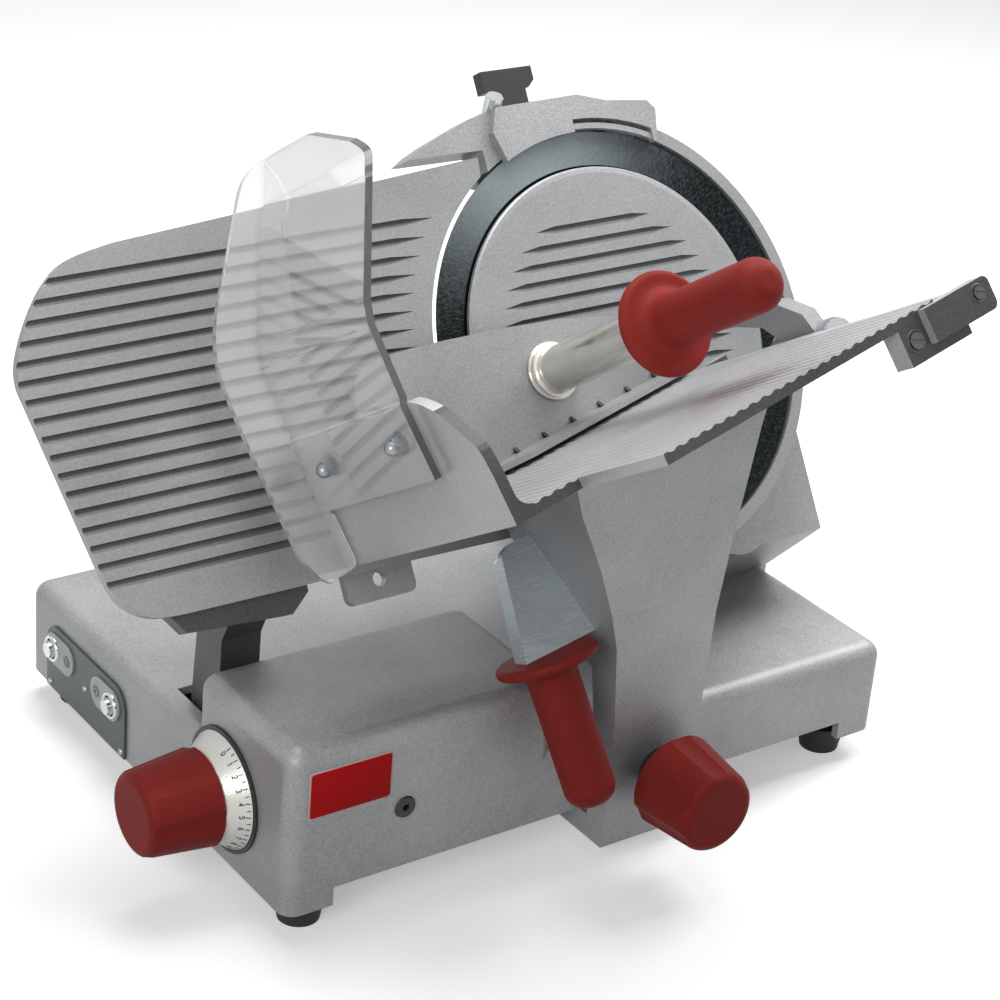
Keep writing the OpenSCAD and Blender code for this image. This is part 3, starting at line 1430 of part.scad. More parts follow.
module sharpener_base() color("#a6a8aa") blade_frame() {
  difference() {
    union() {
      translate([0, 0, sharp_back])
        linear_extrude(slot_front - sharp_back)
          polygon(sharp_outline);
      translate([0, 0, sharp_back])
        linear_extrude(tab_thick)
          polygon(tab_outline);
      button_frame()
        translate([0, 0, -button_length/2])
          cylinder(h = button_length/2 + button_travel, r = button_collar_r, $fn = smooth);
    }
    translate([0, 0, slot_back])
      cylinder(h = slot_front - slot_back + overrun, r = slot_r, $fn = smooth*2);
    translate([0, 0, slot_front - mouth_depth])
      mouth_part(blade_r, mouth_outer_r, 2*mouth_depth);
    // Pockets of the two stones
    translate([front_stone_place[0], front_stone_place[1], front_stone_back - running_gap])
      cylinder(h = 3*stone_thick, r = stone_r + running_gap, $fn = smooth);
    translate([rear_stone_place[0], rear_stone_place[1], rear_stone_back + running_gap/2])
      cylinder(h = slot_back - rear_stone_back, r = stone_r + running_gap, $fn = smooth);
    button_frame()
      translate([0, 0, -button_length])
        cylinder(h = 2*button_length, r = button_pin_r + fit_gap, $fn = smooth);
    wing_frame()
      translate([0, 0, -wing_pin])
        cylinder(h = 2*wing_pin, r = wing_pin_r + fit_gap, $fn = small_smooth);
  }
  for (p = [[front_stone_place, front_stone_back - 2*running_gap],
      [rear_stone_place, rear_stone_back - 2*running_gap]])
    translate([p[0][0], p[0][1], p[1]])
      cylinder(h = stone_thick + 2*running_gap, r = stone_pin_r, $fn = small_smooth);
}

// Hood over the front of the blade's edge, with an open mouth and a strip across it
module sharpener_housing() color("#b4b6b8") blade_frame() translate([0, 0, slot_front]) {
  difference() {
    linear_extrude(hood_front - slot_front)
      polygon(concat(hood_left, sharp_top, hood_right));
    translate([0, 0, -overrun])
      cylinder(h = hood_front, r = hood_inner_r, $fn = smooth*2);
    translate([0, 0, -overrun])
      mouth_part(hood_inner_r - overrun, mouth_outer_r, hood_front + overrun);
    translate([0, 0, -slot_front])
      button_frame()
        cylinder(h = 3*button_length, r = button_pin_r + running_gap, $fn = smooth);
  }
  intersection() {
    difference() {
      cylinder(h = hood_front - slot_front - strip_back, r = strip_outer_r, $fn = smooth*2);
      translate([0, 0, -overrun])
        cylinder(h = hood_front, r = strip_inner_r, $fn = smooth*2);
    }
    translate([mouth_left - overrun, 0, 0])
      cube([mouth_right - mouth_left + 2*overrun, slot_r*2, hood_front]);
  }
}

module stone() difference() {
  tube(stone_r, stone_pin_r + fit_gap, stone_thick);
  translate([0, 0, stone_thick - groove_depth])
    tube(stone_r - groove_half, stone_pin_r + groove_half, groove_depth + overrun);
}
module front_stone() color("#7b4a3a") blade_frame()
  translate([front_stone_place[0], front_stone_place[1], front_stone_back])
    stone();
module rear_stone() color("#6b6f70") blade_frame()
  translate([rear_stone_place[0], rear_stone_place[1], rear_stone_back + running_gap])
    stone();

module stone_button() color("#c4c8ca") blade_frame() button_frame() {
  translate([0, 0, -button_length/2])
    cylinder(h = button_length*3/2 - button_edge, r = button_pin_r, $fn = smooth);
  translate([0, 0, button_length - button_edge])
    cylinder(h = button_edge, r1 = button_pin_r, r2 = button_pin_r - button_edge, $fn = smooth);
}

// Black T knob that clamps the sharpener
module wing_knob() color("#33363a") blade_frame() wing_frame() {
  translate([0, 0, -wing_pin + running_gap])
    cylinder(h = wing_pin, r = wing_pin_r, $fn = small_smooth);
  translate([-wing_stem[0]/2, -wing_stem[1]/2, running_gap])
    cube(wing_stem);
  translate([0, wing_head[1]/2, wing_stem[2] + running_gap])
    lay_flat(wing_head[1])
      polygon([[-wing_head[0]/2, 0], [wing_head[0]*0.36, 0], [wing_head[0]/2, wing_head[2]/3],
        [wing_head[0]/2, wing_head[2]], [-wing_head[0]/2, wing_head[2]]]);
}

// Shift from the blade's centre to the middle of the machine's outline on the table
gauge_reach = min([for (p = gauge_outline) p[0]]);
tray_reach = plane_y(tray_corner_up + tray_step*sin(tray_turn) - floor_thick*cos(tray_turn), tray_floor_depth);
machine_right = max(base_right, ring_out);
module machine() translate([-(gauge_reach + machine_right)/2, -(tray_reach + base_back)/2, blade_axis_height])
  children();

machine() {
  base_housing();
  bottom_cover();
  feet();
  foot_screws();
  control_panel();
  button_plates();
  panel_screws();
  circuit_box();
  front_plug();
  neck_casting();
  ring_guard();
  guard_screws();
  hub_bearings();
  belt_cover();
  cover_screws();
  motor_body();
  drive_belt();
  carriage_rod();
  guide_rail();
  gauge_bracket();
  gauge_rod();
  dial_bezel();
  dial_bush();
  blade_cover();
  tie_rod();
  sharpener_base();
  sharpener_housing();
  blade();
  blade_hub();
  blade_screws();
  hub_pulley();
  motor_shaft();
  dial_knob();
  dial_ring();
  dial_shaft();
  gauge_plate();
  gauge_arm();
  gauge_screws();
  carriage_slider();
  slide_shoe();
  column();
  handle_bracket();
  handle_grip();
  tray();
  pusher_rod();
  hand_guard();
  guard_nuts();
  lock_knob();
  lock_stem();
  pusher_slider();
  pusher_plate();
  pusher_sleeve();
  pusher_grip();
  start_button();
  stop_button();
  wing_knob();
  stone_button();
  front_stone();
  rear_stone();
}
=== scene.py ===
# Food slicer: the studio, the finishes of its parts, and the fine pieces that the solids leave out
import json
from math import cos, pi, radians, sin

import bpy
import numpy as np
from mathutils import Matrix, Vector


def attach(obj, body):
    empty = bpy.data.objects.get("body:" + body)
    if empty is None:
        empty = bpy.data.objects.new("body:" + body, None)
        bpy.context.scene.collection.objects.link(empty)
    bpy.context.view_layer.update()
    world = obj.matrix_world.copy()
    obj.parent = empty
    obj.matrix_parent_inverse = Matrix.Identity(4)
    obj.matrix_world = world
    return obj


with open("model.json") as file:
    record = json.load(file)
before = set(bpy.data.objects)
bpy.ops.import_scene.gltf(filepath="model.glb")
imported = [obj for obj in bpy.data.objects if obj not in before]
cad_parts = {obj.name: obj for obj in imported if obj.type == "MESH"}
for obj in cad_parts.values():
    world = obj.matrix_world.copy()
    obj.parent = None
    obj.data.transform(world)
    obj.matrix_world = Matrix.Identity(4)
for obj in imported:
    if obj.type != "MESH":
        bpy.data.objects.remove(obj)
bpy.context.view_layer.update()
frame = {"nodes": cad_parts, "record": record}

# Where things are in the frame of the solids. Lengths are in metres and angles in degrees, here and below.
layout = {
    "bladeCentre": (0.1435, 0.042935, 0.306),
    "bladeTilt": 32.5,
    "trayTurn": 13.4,
    "trayCorner": (-0.255, -0.101),  # across and up from the blade's centre, in its plane
    "dialCentre": (-0.2045, -0.023065, 0.075),
}


# Camera and studio

shot = {
    "place": (-0.9459, -1.2769, 1.0163),
    "azimuth": -37.03,
    "elevation": 26.27,
    "roll": 4.87,  # tips the camera's right side up
    "lens": 94.43,
    "sensor": 36,
    "clip": (0.05, 40),
}


# The way back from the machine to the camera is -Y, raised by the elevation and turned about +Z by the
# azimuth. Roll then turns the camera about it.
def addCamera(look):
    azimuth, elevation, roll = (radians(look[key]) for key in ("azimuth", "elevation", "roll"))
    level = Vector((cos(azimuth), sin(azimuth), 0))
    back = Vector((sin(azimuth) * cos(elevation), -cos(azimuth) * cos(elevation), sin(elevation)))
    above = back.cross(level)
    right = level * cos(roll) + above * sin(roll)
    up = above * cos(roll) - level * sin(roll)
    camera = bpy.data.objects.new("camera", bpy.data.cameras.new("camera"))
    turn = Matrix((right, up, back)).transposed().to_4x4()
    camera.matrix_world = Matrix.Translation(look["place"]) @ turn
    camera.data.lens = look["lens"]
    camera.data.sensor_width = look["sensor"]
    camera.data.clip_start, camera.data.clip_end = look["clip"]
    bpy.context.scene.collection.objects.link(camera)
    bpy.context.scene.camera = camera


# A shader socket that takes part in sums, so that a pattern reads as its formula
class Wire:
    def __init__(self, tree, socket):
        self.tree = tree
        self.socket = socket

    # Any node: its type, its settings, then its inputs by name or number
    def node(self, kind, settings=None, inputs=None, out=0):
        made = self.tree.nodes.new(kind)
        for key, value in (settings or {}).items():
            setattr(made, key, value)
        for key, value in (inputs or {}).items():
            if isinstance(value, Wire):
                self.tree.links.new(value.socket, made.inputs[key])
            else:
                made.inputs[key].default_value = value
        return Wire(self.tree, made.outputs[out] if made.outputs else None)

    def sum(self, operation, *values):
        return self.node("ShaderNodeMath", {"operation": operation}, dict(enumerate(values)))

    def __add__(self, other):
        return self.sum("ADD", self, other)

    def __radd__(self, other):
        return self.sum("ADD", other, self)

    def __sub__(self, other):
        return self.sum("SUBTRACT", self, other)

    def __rsub__(self, other):
        return self.sum("SUBTRACT", other, self)

    def __mul__(self, other):
        return self.sum("MULTIPLY", self, other)

    def __rmul__(self, other):
        return self.sum("MULTIPLY", other, self)

    def __truediv__(self, other):
        return self.sum("DIVIDE", self, other)

    def __rtruediv__(self, other):
        return self.sum("DIVIDE", other, self)

    def __pow__(self, other):
        return self.sum("POWER", self, other)

    def __rpow__(self, other):
        return self.sum("POWER", other, self)

    def between(self, low, high):
        return self.sum("MINIMUM", self.sum("MAXIMUM", self, low), high)

    def greater(self, other):
        return self.sum("MAXIMUM", self, other)

    # Cloudy pattern, 0.5 on average, which the gain stretches to fill 0 to 1
    def noise(self, scale, detail=2, gain=2):
        made = self.node("ShaderNodeTexNoise", None, {"Vector": self, "Scale": scale, "Detail": detail})
        return ((made - 0.5) * gain + 0.5).between(0, 1)

    # A value that swings about its middle as the pattern does
    def swing(self, middle, width):
        return middle + (self - 0.5) * width


    # The colour that is this share of the way from one colour to another. A Mix node's colour sockets are
    # known by number, since its other kinds of input have the same names.
    def blend(self, first, second):
        inputs = {0: self, 6: first, 7: second}
        return self.node("ShaderNodeMix", {"data_type": "RGBA"}, inputs, 2)

    # The finish's dark colour where this pattern is 0, and its light one where it is 1
    def tone(self, look):
        return self.blend(colour(look["dark"]), colour(look["light"]))

    def axes(self):
        return [self.node("ShaderNodeSeparateXYZ", None, {0: self}, i) for i in range(3)]

    def bump(self, depth):
        return self.node("ShaderNodeBump", None, {"Height": self, "Distance": depth})

    # 1 for rays from the camera, also by way of a mirror or of clear plastic, and 0 for other light
    def seen(self):
        rays = [self.node("ShaderNodeLightPath", out=f"Is {name} Ray") for name in
                ("Camera", "Glossy", "Transmission")]
        return rays[0].greater(rays[1]).greater(rays[2])


# A written colour such as "a9abad" as the linear red, green, blue and alpha that Blender's sockets take
def colour(written):
    parts = [int(written[i:i + 2], 16) / 255 for i in (0, 2, 4)]
    return (*(c / 12.92 if c <= 0.04045 else ((c + 0.055) / 1.055) ** 2.4 for c in parts), 1.0)


def newTree(block):
    block.use_nodes = True
    block.node_tree.nodes.clear()
    return Wire(block.node_tree, None)


studio = {
    "backdrop": "ffffff",
    "ambient": "f4f6f8",
    "ambientStrength": 0.22,
    "floorColour": "ffffff",
    "floorBounce": "6a6a6a",  # the floor's own colour, as it lights the machine
    "floorGlow": 0.35,
    "floorSize": 24.0,
    "aimHeight": 0.22,
    "lamps": {
        "key": {"place": (-1.5, -1.0, 1.0), "size": 0.8, "power": 12},
        "top": {"place": (0.25, 0.35, 2.2), "size": 1.2, "power": 31},
        "side": {"place": (1.5, 0.1, 1.7), "size": 0.9, "power": 19},
    },
}


def addWorld(look):
    world = bpy.data.worlds.new("studio")
    bpy.context.scene.world = world
    start = newTree(world)
    seen = start.seen()
    glow = start.node("ShaderNodeBackground", None, {
        "Color": seen.blend(colour(look["ambient"]), colour(look["backdrop"])),
        "Strength": seen * (1 - look["ambientStrength"]) + look["ambientStrength"],
    })
    start.node("ShaderNodeOutputWorld", None, {"Surface": glow})


def addFloor(look):
    floor = bpy.data.materials.new("floor")
    start = newTree(floor)
    seen = start.seen()
    shade = seen.blend(colour(look["floorBounce"]), colour(look["floorColour"]))
    plain = start.node("ShaderNodeBsdfDiffuse", None, {"Color": shade})
    shine = start.node("ShaderNodeEmission", None, {"Strength": seen * look["floorGlow"]})
    both = start.node("ShaderNodeAddShader", None, {0: plain, 1: shine})
    start.node("ShaderNodeOutputMaterial", None, {"Surface": both})

    half = look["floorSize"] / 2
    corners = [(-half, -half, 0), (half, -half, 0), (half, half, 0), (-half, half, 0)]
    mesh = bpy.data.meshes.new("floor")
    mesh.from_pydata(corners, [], [(0, 1, 2, 3)])
    mesh.materials.append(floor)
    plane = bpy.data.objects.new("floor", mesh)
    bpy.context.scene.collection.objects.link(plane)


def addLamps(look):
    for name, lamp in look["lamps"].items():
        light = bpy.data.lights.new(name, "AREA")
        light.energy = lamp["power"]
        light.size = lamp["size"]
        item = bpy.data.objects.new(name, light)
        item.location = lamp["place"]
        aim = Vector((0, 0, look["aimHeight"])) - item.location
        item.rotation_euler = aim.to_track_quat("-Z", "Y").to_euler()
        bpy.context.scene.collection.objects.link(item)


bpy.context.scene.view_settings.view_transform = "Standard"
addCamera(shot)
addWorld(studio)
addFloor(studio)
addLamps(studio)
print("studio: camera and", len(studio["lamps"]), "lamps")


# Finishes: each kind of surface is a function, and what it gives feeds the sockets of the same names

# Sand cast and blasted metal: slow clouds and a fine speckle in colour, and the speckle in gloss and relief
def castMetal(start, look):
    place = start.node("ShaderNodeTexCoord", out="Object")
    cloud = place.noise(look["cloud"], detail=3)
    speck = place.noise(look["speck"], gain=2.5)
    return {
        "Base Color": (cloud * (1 - look["fineShare"]) + speck * look["fineShare"]).tone(look),
        "Roughness": speck.swing(look["roughness"], look["swing"]),
        "Normal": speck.bump(look["relief"]),
    }


# Metal rubbed along one way: the stretch draws the lines out
def brushedMetal(start, look):
    place = start.node("ShaderNodeTexCoord", out="Object")
    drawn = place.node("ShaderNodeMapping", None, {"Vector": place, "Scale": look["stretch"]})
    lines = drawn.noise(look["lines"])
    cloud = place.noise(look["cloud"])
    return {
        "Base Color": (lines * look["fineShare"] + cloud * (1 - look["fineShare"])).tone(look),
        "Roughness": lines.swing(look["roughness"], look["swing"]),
        "Normal": lines.bump(look["relief"]),
    }


# Moulded plastic or paint: almost even, with a soft grain
def moulded(start, look):
    place = start.node("ShaderNodeTexCoord", out="Object")
    grain = place.noise(look["grain"], gain=1.5)
    cloud = place.noise(look["cloud"])
    return {
        "Base Color": (grain * look["fineShare"] + cloud * (1 - look["fineShare"])).tone(look),
        "Roughness": cloud.swing(look["roughness"], look["swing"]),
        "Normal": grain.bump(look["relief"]),
    }


# Clear plastic: almost even, with a gloss that faint rubbing along one way varies
def clearSheet(start, look):
    place = start.node("ShaderNodeTexCoord", out="Object")
    drawn = place.node("ShaderNodeMapping", None, {"Vector": place, "Scale": look["stretch"]})
    return {
        "Base Color": place.noise(look["cloud"]).tone(look),
        "Roughness": drawn.noise(look["lines"]).swing(look["roughness"], look["swing"]),
    }


# The blade's face: streaks run out from its centre, and a painted highlight, a lobe of light tone at one
# angle round the centre, stands in for its sheen
def turnedBlade(start, look):
    tilt = radians(layout["bladeTilt"] - 90)
    x, y, z = layout["bladeCentre"]
    settled = (-x, -(y * cos(tilt) - z * sin(tilt)), -(y * sin(tilt) + z * cos(tilt)))
    place = start.node("ShaderNodeTexCoord", out="Object")
    moves = {"Location": settled, "Rotation": (tilt, 0, 0)}
    across, up, _ = place.node("ShaderNodeMapping", None, {"Vector": place, **moves}).axes()
    radius = (across * across + up * up) ** 0.5
    spread = start.node("ShaderNodeCombineXYZ", None, {
        0: across / radius * look["streaks"], 1: up / radius * look["streaks"], 2: radius * look["along"]})
    streak = spread.noise(1, gain=2.2)
    # Painted highlight: the tone is light in a lobe about one angle round the centre, and dark elsewhere
    turn = up.sum("ARCTAN2", up, across) - radians(look["paintedHighlightAt"])
    paintedSheen = turn.sum("COSINE", turn).greater(0) ** look["sharpness"]
    face = (paintedSheen * look["sheenShare"] + (streak - look["streakFloor"]) * look["streakShare"]).between(0, 1)
    # Painted shadow: a narrow ring of the blade by the cover's rim is painted near black
    lit = ((radius - look["rim"]) / look["rimSoft"]).between(0, 1)
    return {
        "Base Color": lit.blend(colour(look["gap"]), face.tone(look)),
        "Roughness": streak.swing(look["roughness"], look["swing"]),
        "Normal": streak.bump(look["relief"]),
    }


# Dark and light are the ends of a finish's colours, fineShare is how much of the tone its fine pattern makes,
# and swing is how far its roughness moves. Patterns are scaled in spots along one metre.
sandCast = {"kind": castMetal, "dark": "8f9092", "light": "babbbd", "cloud": 14, "speck": 620,
            "fineShare": 0.55, "roughness": 0.5, "swing": 0.12, "relief": 0.0001, "metallic": 0.35}
fineCast = {**sandCast, "dark": "939496", "light": "b2b3b5", "roughness": 0.42, "relief": 0.00005}
ground = {"kind": brushedMetal, "dark": "8e9295", "light": "c4c7c9", "cloud": 20, "lines": 60,
          "stretch": (1, 30, 30), "fineShare": 0.6, "roughness": 0.28, "swing": 0.14, "relief": 0.00003,
          "metallic": 0.9}
smooth = {**ground, "stretch": (1, 1, 1)}
plastic = {"kind": moulded, "dark": "1c1d1e", "light": "2a2b2c", "grain": 900, "cloud": 20, "fineShare": 0.4,
           "roughness": 0.5, "swing": 0.08, "relief": 0.00008, "metallic": 0.0}
clear = {"kind": clearSheet, "swing": 0.04, "metallic": 0.0, "bend": 1.49}
finishes = {
    # The materials that the solids state
    "cast_alloy": sandCast,
    "polished_cast": fineCast,
    "sheet_alloy": {**fineCast, "dark": "a0a3a5", "light": "b9bcbe"},
    "foot_rubber": {**plastic, "roughness": 0.72},
    "screw_steel": {**smooth, "dark": "7c8083", "light": "a9acae", "roughness": 0.34},
    "panel_paint": {**plastic, "dark": "46514d", "light": "515c58", "roughness": 0.42},
    "plate_paint": {**plastic, "dark": "c3c6be", "light": "d0d3cb", "roughness": 0.4},
    "black_plastic": plastic,
    "bearing_steel": ground,
    "motor_paint": {**plastic, "dark": "4e5255", "light": "5e6265", "roughness": 0.45, "metallic": 0.2},
    "belt_rubber": {**plastic, "roughness": 0.75},
    "rod_steel": {**ground, "dark": "b8bbbd", "light": "d6d8da", "roughness": 0.16},
    "rail_steel": {**ground, "dark": "9c9fa1", "light": "c8cacc"},
    # The blade's light colour is its painted highlight, and its dark colour the painted dark reflection round
    # it
    "blade_steel": {"kind": turnedBlade, "dark": "0e1416", "light": "aab6b8", "paintedHighlightAt": 106,
                    "sharpness": 5.0, "sheenShare": 0.85, "streakShare": 0.2, "streakFloor": 0.45,
                    "streaks": 150, "along": 300, "rim": 0.1262, "rimSoft": 0.0006, "gap": "060708",
                    "roughness": 0.55, "swing": 0.2, "relief": 0.00003, "metallic": 0.3, "specular": 0.1},
    "hub_steel": ground,
    "grip_red": {**plastic, "dark": "842823", "light": "902e29", "roughness": 0.55, "cloud": 9,
                 "specular": 0.12},
    "dial_silver": {**fineCast, "dark": "dcdad4", "light": "eceae4", "roughness": 0.35, "metallic": 0.3},
    "clear_plastic": {**clear, "dark": "f7f7f8", "light": "fefefe", "cloud": 12, "lines": 90,
                      "stretch": (1, 1, 20), "roughness": 0.04, "clear": 0.78, "specular": 1.0, "coat": 1.0,
                      "coatBend": 1.6},
    "shoe_plastic": {**plastic, "dark": "dcdad2", "light": "e6e4dc", "roughness": 0.45},
    "button_chrome": {**smooth, "dark": "b4b8ba", "light": "dcdedf", "roughness": 0.14},
    "sleeve_steel": {**smooth, "dark": "d6d3c9", "light": "efece3", "roughness": 0.2, "metallic": 0.75},
    "bracket_steel": {**ground, "dark": "a4aeb1", "light": "ccd6d9", "roughness": 0.25, "cloud": 9,
                      "metallic": 0.5},
    "grit_stone": {**plastic, "dark": "5f5148", "light": "8b786c", "roughness": 0.9, "relief": 0.0006},
    # Finishes of single parts, of their edges and of the fine pieces
    "arm_cast": {**sandCast, "dark": "3e3f41", "light": "5e5f61"},
    "tray_cast": {**fineCast, "dark": "b0b1b3", "light": "cecfd1"},
    # Painted shade for the front edges of the tray and of the pusher's rod
    "front_painted_shade": {**sandCast, "dark": "37383a", "light": "58595b"},
    # Painted shade on the walls of the grooves, from darkest to softest
    "groove_shade_dark": {**fineCast, "dark": "424345", "light": "5c5d5f"},
    "groove_shade_mid": {**fineCast, "dark": "5a5b5d", "light": "747577"},
    "groove_shade_soft": {**fineCast, "dark": "747577", "light": "929395"},
    # Painted shade for the clear guard's edge
    "clear_edge_shade": {**clear, "dark": "686164", "light": "756e70", "cloud": 40, "lines": 200,
                   "stretch": (1, 1, 1), "roughness": 0.08, "clear": 0.5},
    "screw_dark": {**smooth, "dark": "4c4e50", "light": "6e7072", "roughness": 0.4},
    # Print on the dial, and the painted shadow on the pusher's hooks
    "ink_and_hook_shade": {**plastic, "dark": "18191a", "light": "202122", "roughness": 0.6},
    "plate_red": {**plastic, "dark": "ca1a1d", "light": "d41f22", "roughness": 0.5, "relief": 0.00002,
                  "specular": 0.1},
    "plate_rim": {**plastic, "dark": "d8b8b4", "light": "e6cdc9", "roughness": 0.4},
}

# The shader's sockets that a finish may set to one value
evenSockets = {
    "metallic": "Metallic",
    "specular": "Specular IOR Level",
    "coat": "Coat Weight",
    "coatBend": "Coat IOR",
    "clear": "Transmission Weight",
    "bend": "IOR",
}


def buildFinish(name, look):
    material = bpy.data.materials.new(name)
    start = newTree(material)
    inputs = {socket: look[key] for key, socket in evenSockets.items() if key in look}
    shader = start.node("ShaderNodeBsdfPrincipled", None, {**inputs, **look["kind"](start, look)})
    start.node("ShaderNodeOutputMaterial", None, {"Surface": shader})
    return material


# Parts whose finish isn't the usual one of their material
ownFinish = {"gauge_arm": "arm_cast", "tray": "tray_cast"}

materials = {name: buildFinish(name, look) for name, look in finishes.items()}
for part in frame["record"]["subparts"]:
    mesh = frame["nodes"][part["node"]].data
    mesh.materials.clear()
    mesh.materials.append(materials[ownFinish.get(part["node"], part["material_slot"])])


def polygonVectors(mesh, key):
    values = np.zeros(len(mesh.polygons) * 3)
    mesh.polygons.foreach_get(key, values)
    return values.reshape(-1, 3)


# Gives the chosen polygons of one part a finish of their own. The choice gets their normals and centres in
# the blade's axes: across, up along the blade's face, and out of it.
def tint(name, finish, chosen):
    mesh = frame["nodes"][name].data
    tilt = radians(layout["bladeTilt"])
    axes = np.array([[1, 0, 0], [0, sin(tilt), cos(tilt)], [0, -cos(tilt), sin(tilt)]])
    normals = polygonVectors(mesh, "normal") @ axes.T
    centres = (polygonVectors(mesh, "center") - layout["bladeCentre"]) @ axes.T
    index = np.zeros(len(mesh.polygons), int)
    mesh.polygons.foreach_get("material_index", index)
    mesh.materials.append(materials[finish])
    index[chosen(normals, centres)] = len(mesh.materials) - 1
    mesh.polygons.foreach_set("material_index", index)
    mesh.update()


# Painted shade: the cut front edges get a darker finish than the faces beside them. They are known by how far
# their normals point out of the blade's face, from 0 to 1.
shadedFrontEdges = {"tray": 0.6, "pusher_rod": 0.9}

for name, least in shadedFrontEdges.items():
    tint(name, "front_painted_shade", lambda normal, place: normal[:, 2] > least)

# Painted shade in the grooves: darkest on the walls under their upper edges and clearing towards their lower
# ones. Each shade goes with a range of how far the normal points up the blade's face
grooves = {
    "reach": {"gauge_plate": 0.5, "blade_cover": 0.0985},  # from the blade's centre
    "shadeBands": {"groove_shade_dark": (-1.1, 0.0), "groove_shade_mid": (0.0, 0.45), "groove_shade_soft": (0.45, 0.85)},
    "shallow": 0.00005,
    "deep": 0.003,
    "faceOut": 0.999,  # how far a normal of the flat face points out, at least
    "wallOut": 0.05,  # and one of a groove's wall
}


def tintGrooves(look, name, finish, low, high):
    def inGroove(normal, place):
        face = place[normal[:, 2] > look["faceOut"], 2].max()
        depth = face - place[:, 2]
        near = np.hypot(place[:, 0], place[:, 1]) < look["reach"][name]
        wall = (normal[:, 2] > look["wallOut"]) & (normal[:, 1] > low) & (normal[:, 1] <= high)
        return near & wall & (depth > look["shallow"]) & (depth < look["deep"])
    tint(name, finish, inGroove)


for part in grooves["reach"]:
    for finish, (low, high) in grooves["shadeBands"].items():
        tintGrooves(grooves, part, finish, low, high)

# Painted shade on the clear guard's sawn edge: all that doesn't face sideways, above the band along its foot,
# gets a darker clear finish
guardEdge = {"sideways": 0.5, "bandTop": 0.04}

tint("hand_guard", "clear_edge_shade", lambda normal, place:
     (np.abs(normal[:, 0]) < guardEdge["sideways"]) & (place[:, 2] > guardEdge["bandTop"]))

# The small hooks along the pusher's foot, in the tray's frame. They are painted near black as painted shadow.
hooks = {"first": 0.112, "pitch": 0.026, "half": 0.0014, "rise": (0.0071, 0.0125), "out": (0.0221, 0.031)}


def isHook(normal, place):
    turn = radians(layout["trayTurn"])
    across, up = place[:, 0] - layout["trayCorner"][0], place[:, 1] - layout["trayCorner"][1]
    along, rise = across * cos(turn) + up * sin(turn), up * cos(turn) - across * sin(turn)
    step = (along - hooks["first"]) / hooks["pitch"]
    near = np.abs(step - np.round(step)) * hooks["pitch"] < hooks["half"]
    (low, high), (inner, outer) = hooks["rise"], hooks["out"]
    return near & (rise > low) & (rise < high) & (place[:, 2] > inner) & (place[:, 2] < outer)


# Painted shadow: the hooks get the near-black ink finish
tint("pusher_plate", "ink_and_hook_shade", isHook)
print("finishes:", len(materials), "materials")


# Surfaces for the fine pieces

sharpAngle = 35  # edges that turn by more stay sharp
mitreLimit = 2  # how far a mitred corner may reach, in half widths of its line


# Turns a closed mesh's faces round where they point inwards: six times its volume is the sum, over the
# triangles that fan out from each face's first corner, of that corner dotted with the cross product of the
# other two
def facingOut(points, faces):
    volume = 0
    for face in faces:
        corner = points[list(face)] - points[0]
        volume += (np.cross(corner[1:-1], corner[2:]) @ corner[0]).sum()
    return points, faces if volume > 0 else [face[::-1] for face in faces]


# A closed mesh of a grid of points: each row closes on itself. The last row joins the first one, or else the
# two get end faces.
def gridMesh(points, closed=False):
    rows, columns = points.shape[:2]
    u, v = np.meshgrid(np.arange(rows if closed else rows - 1), np.arange(columns), indexing="ij")
    nextU, nextV = (u + 1) % rows, (v + 1) % columns
    corners = [u * columns + v, nextU * columns + v, nextU * columns + nextV, u * columns + nextV]
    faces = [tuple(face) for face in np.stack(corners, -1).reshape(-1, 4)]
    if not closed:
        faces.append(tuple(range(columns)))
        faces.append(tuple(reversed(range((rows - 1) * columns, rows * columns))))
    return facingOut(points.reshape(-1, 3), faces)


# One object from several (points, faces) pairs, which rides on a body of the frame
def addPiece(name, parts, body, finish, smooth=True):
    points, faces, start = [], [], 0
    for partPoints, partFaces in parts:
        points.append(partPoints)
        faces += [tuple(i + start for i in face) for face in partFaces]
        start += len(partPoints)
    mesh = bpy.data.meshes.new(name)
    mesh.from_pydata(np.vstack(points).tolist(), [], faces)
    mesh.materials.append(materials[finish])
    mesh.polygons.foreach_set("use_smooth", [smooth] * len(mesh.polygons))
    mesh.update()
    piece = bpy.data.objects.new(name, mesh)
    bpy.context.scene.collection.objects.link(piece)
    if smooth:
        mesh.set_sharp_from_angle(angle=radians(sharpAngle))
    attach(piece, body)


# A point of the left face's frame: up is +Z, across is +Y and out is -X
def onLeftFace(centre, up, across, out):
    return np.stack([centre[0] - out, centre[1] + across, centre[2] + up], -1)


# Angles all round a circle, without the last one that would repeat the first
def allRound(count):
    return np.linspace(0, 2 * pi, count, endpoint=False)


# Dial scale: ticks and numbers printed on the silver cone

scale = {
    "coneFoot": (0.0407, 0.0023),  # radius and height
    "coneTop": (0.030, 0.017),
    "ink": 0.00008,
    "lineWidth": 0.00062,
    "step": 14.4,
    "firstAngle": 16.0,
    "numbers": 21,
    "tickFrom": 0.0012,  # along the cone's slope from its foot
    "tickTo": 0.0046,
    "halfTickShare": 0.8,
    "digitFrom": 0.0054,
    "digitHeight": 0.0034,
    "digitWidth": 0.0021,
    "digitGap": 0.0026,
    "arcPoints": 15,
}

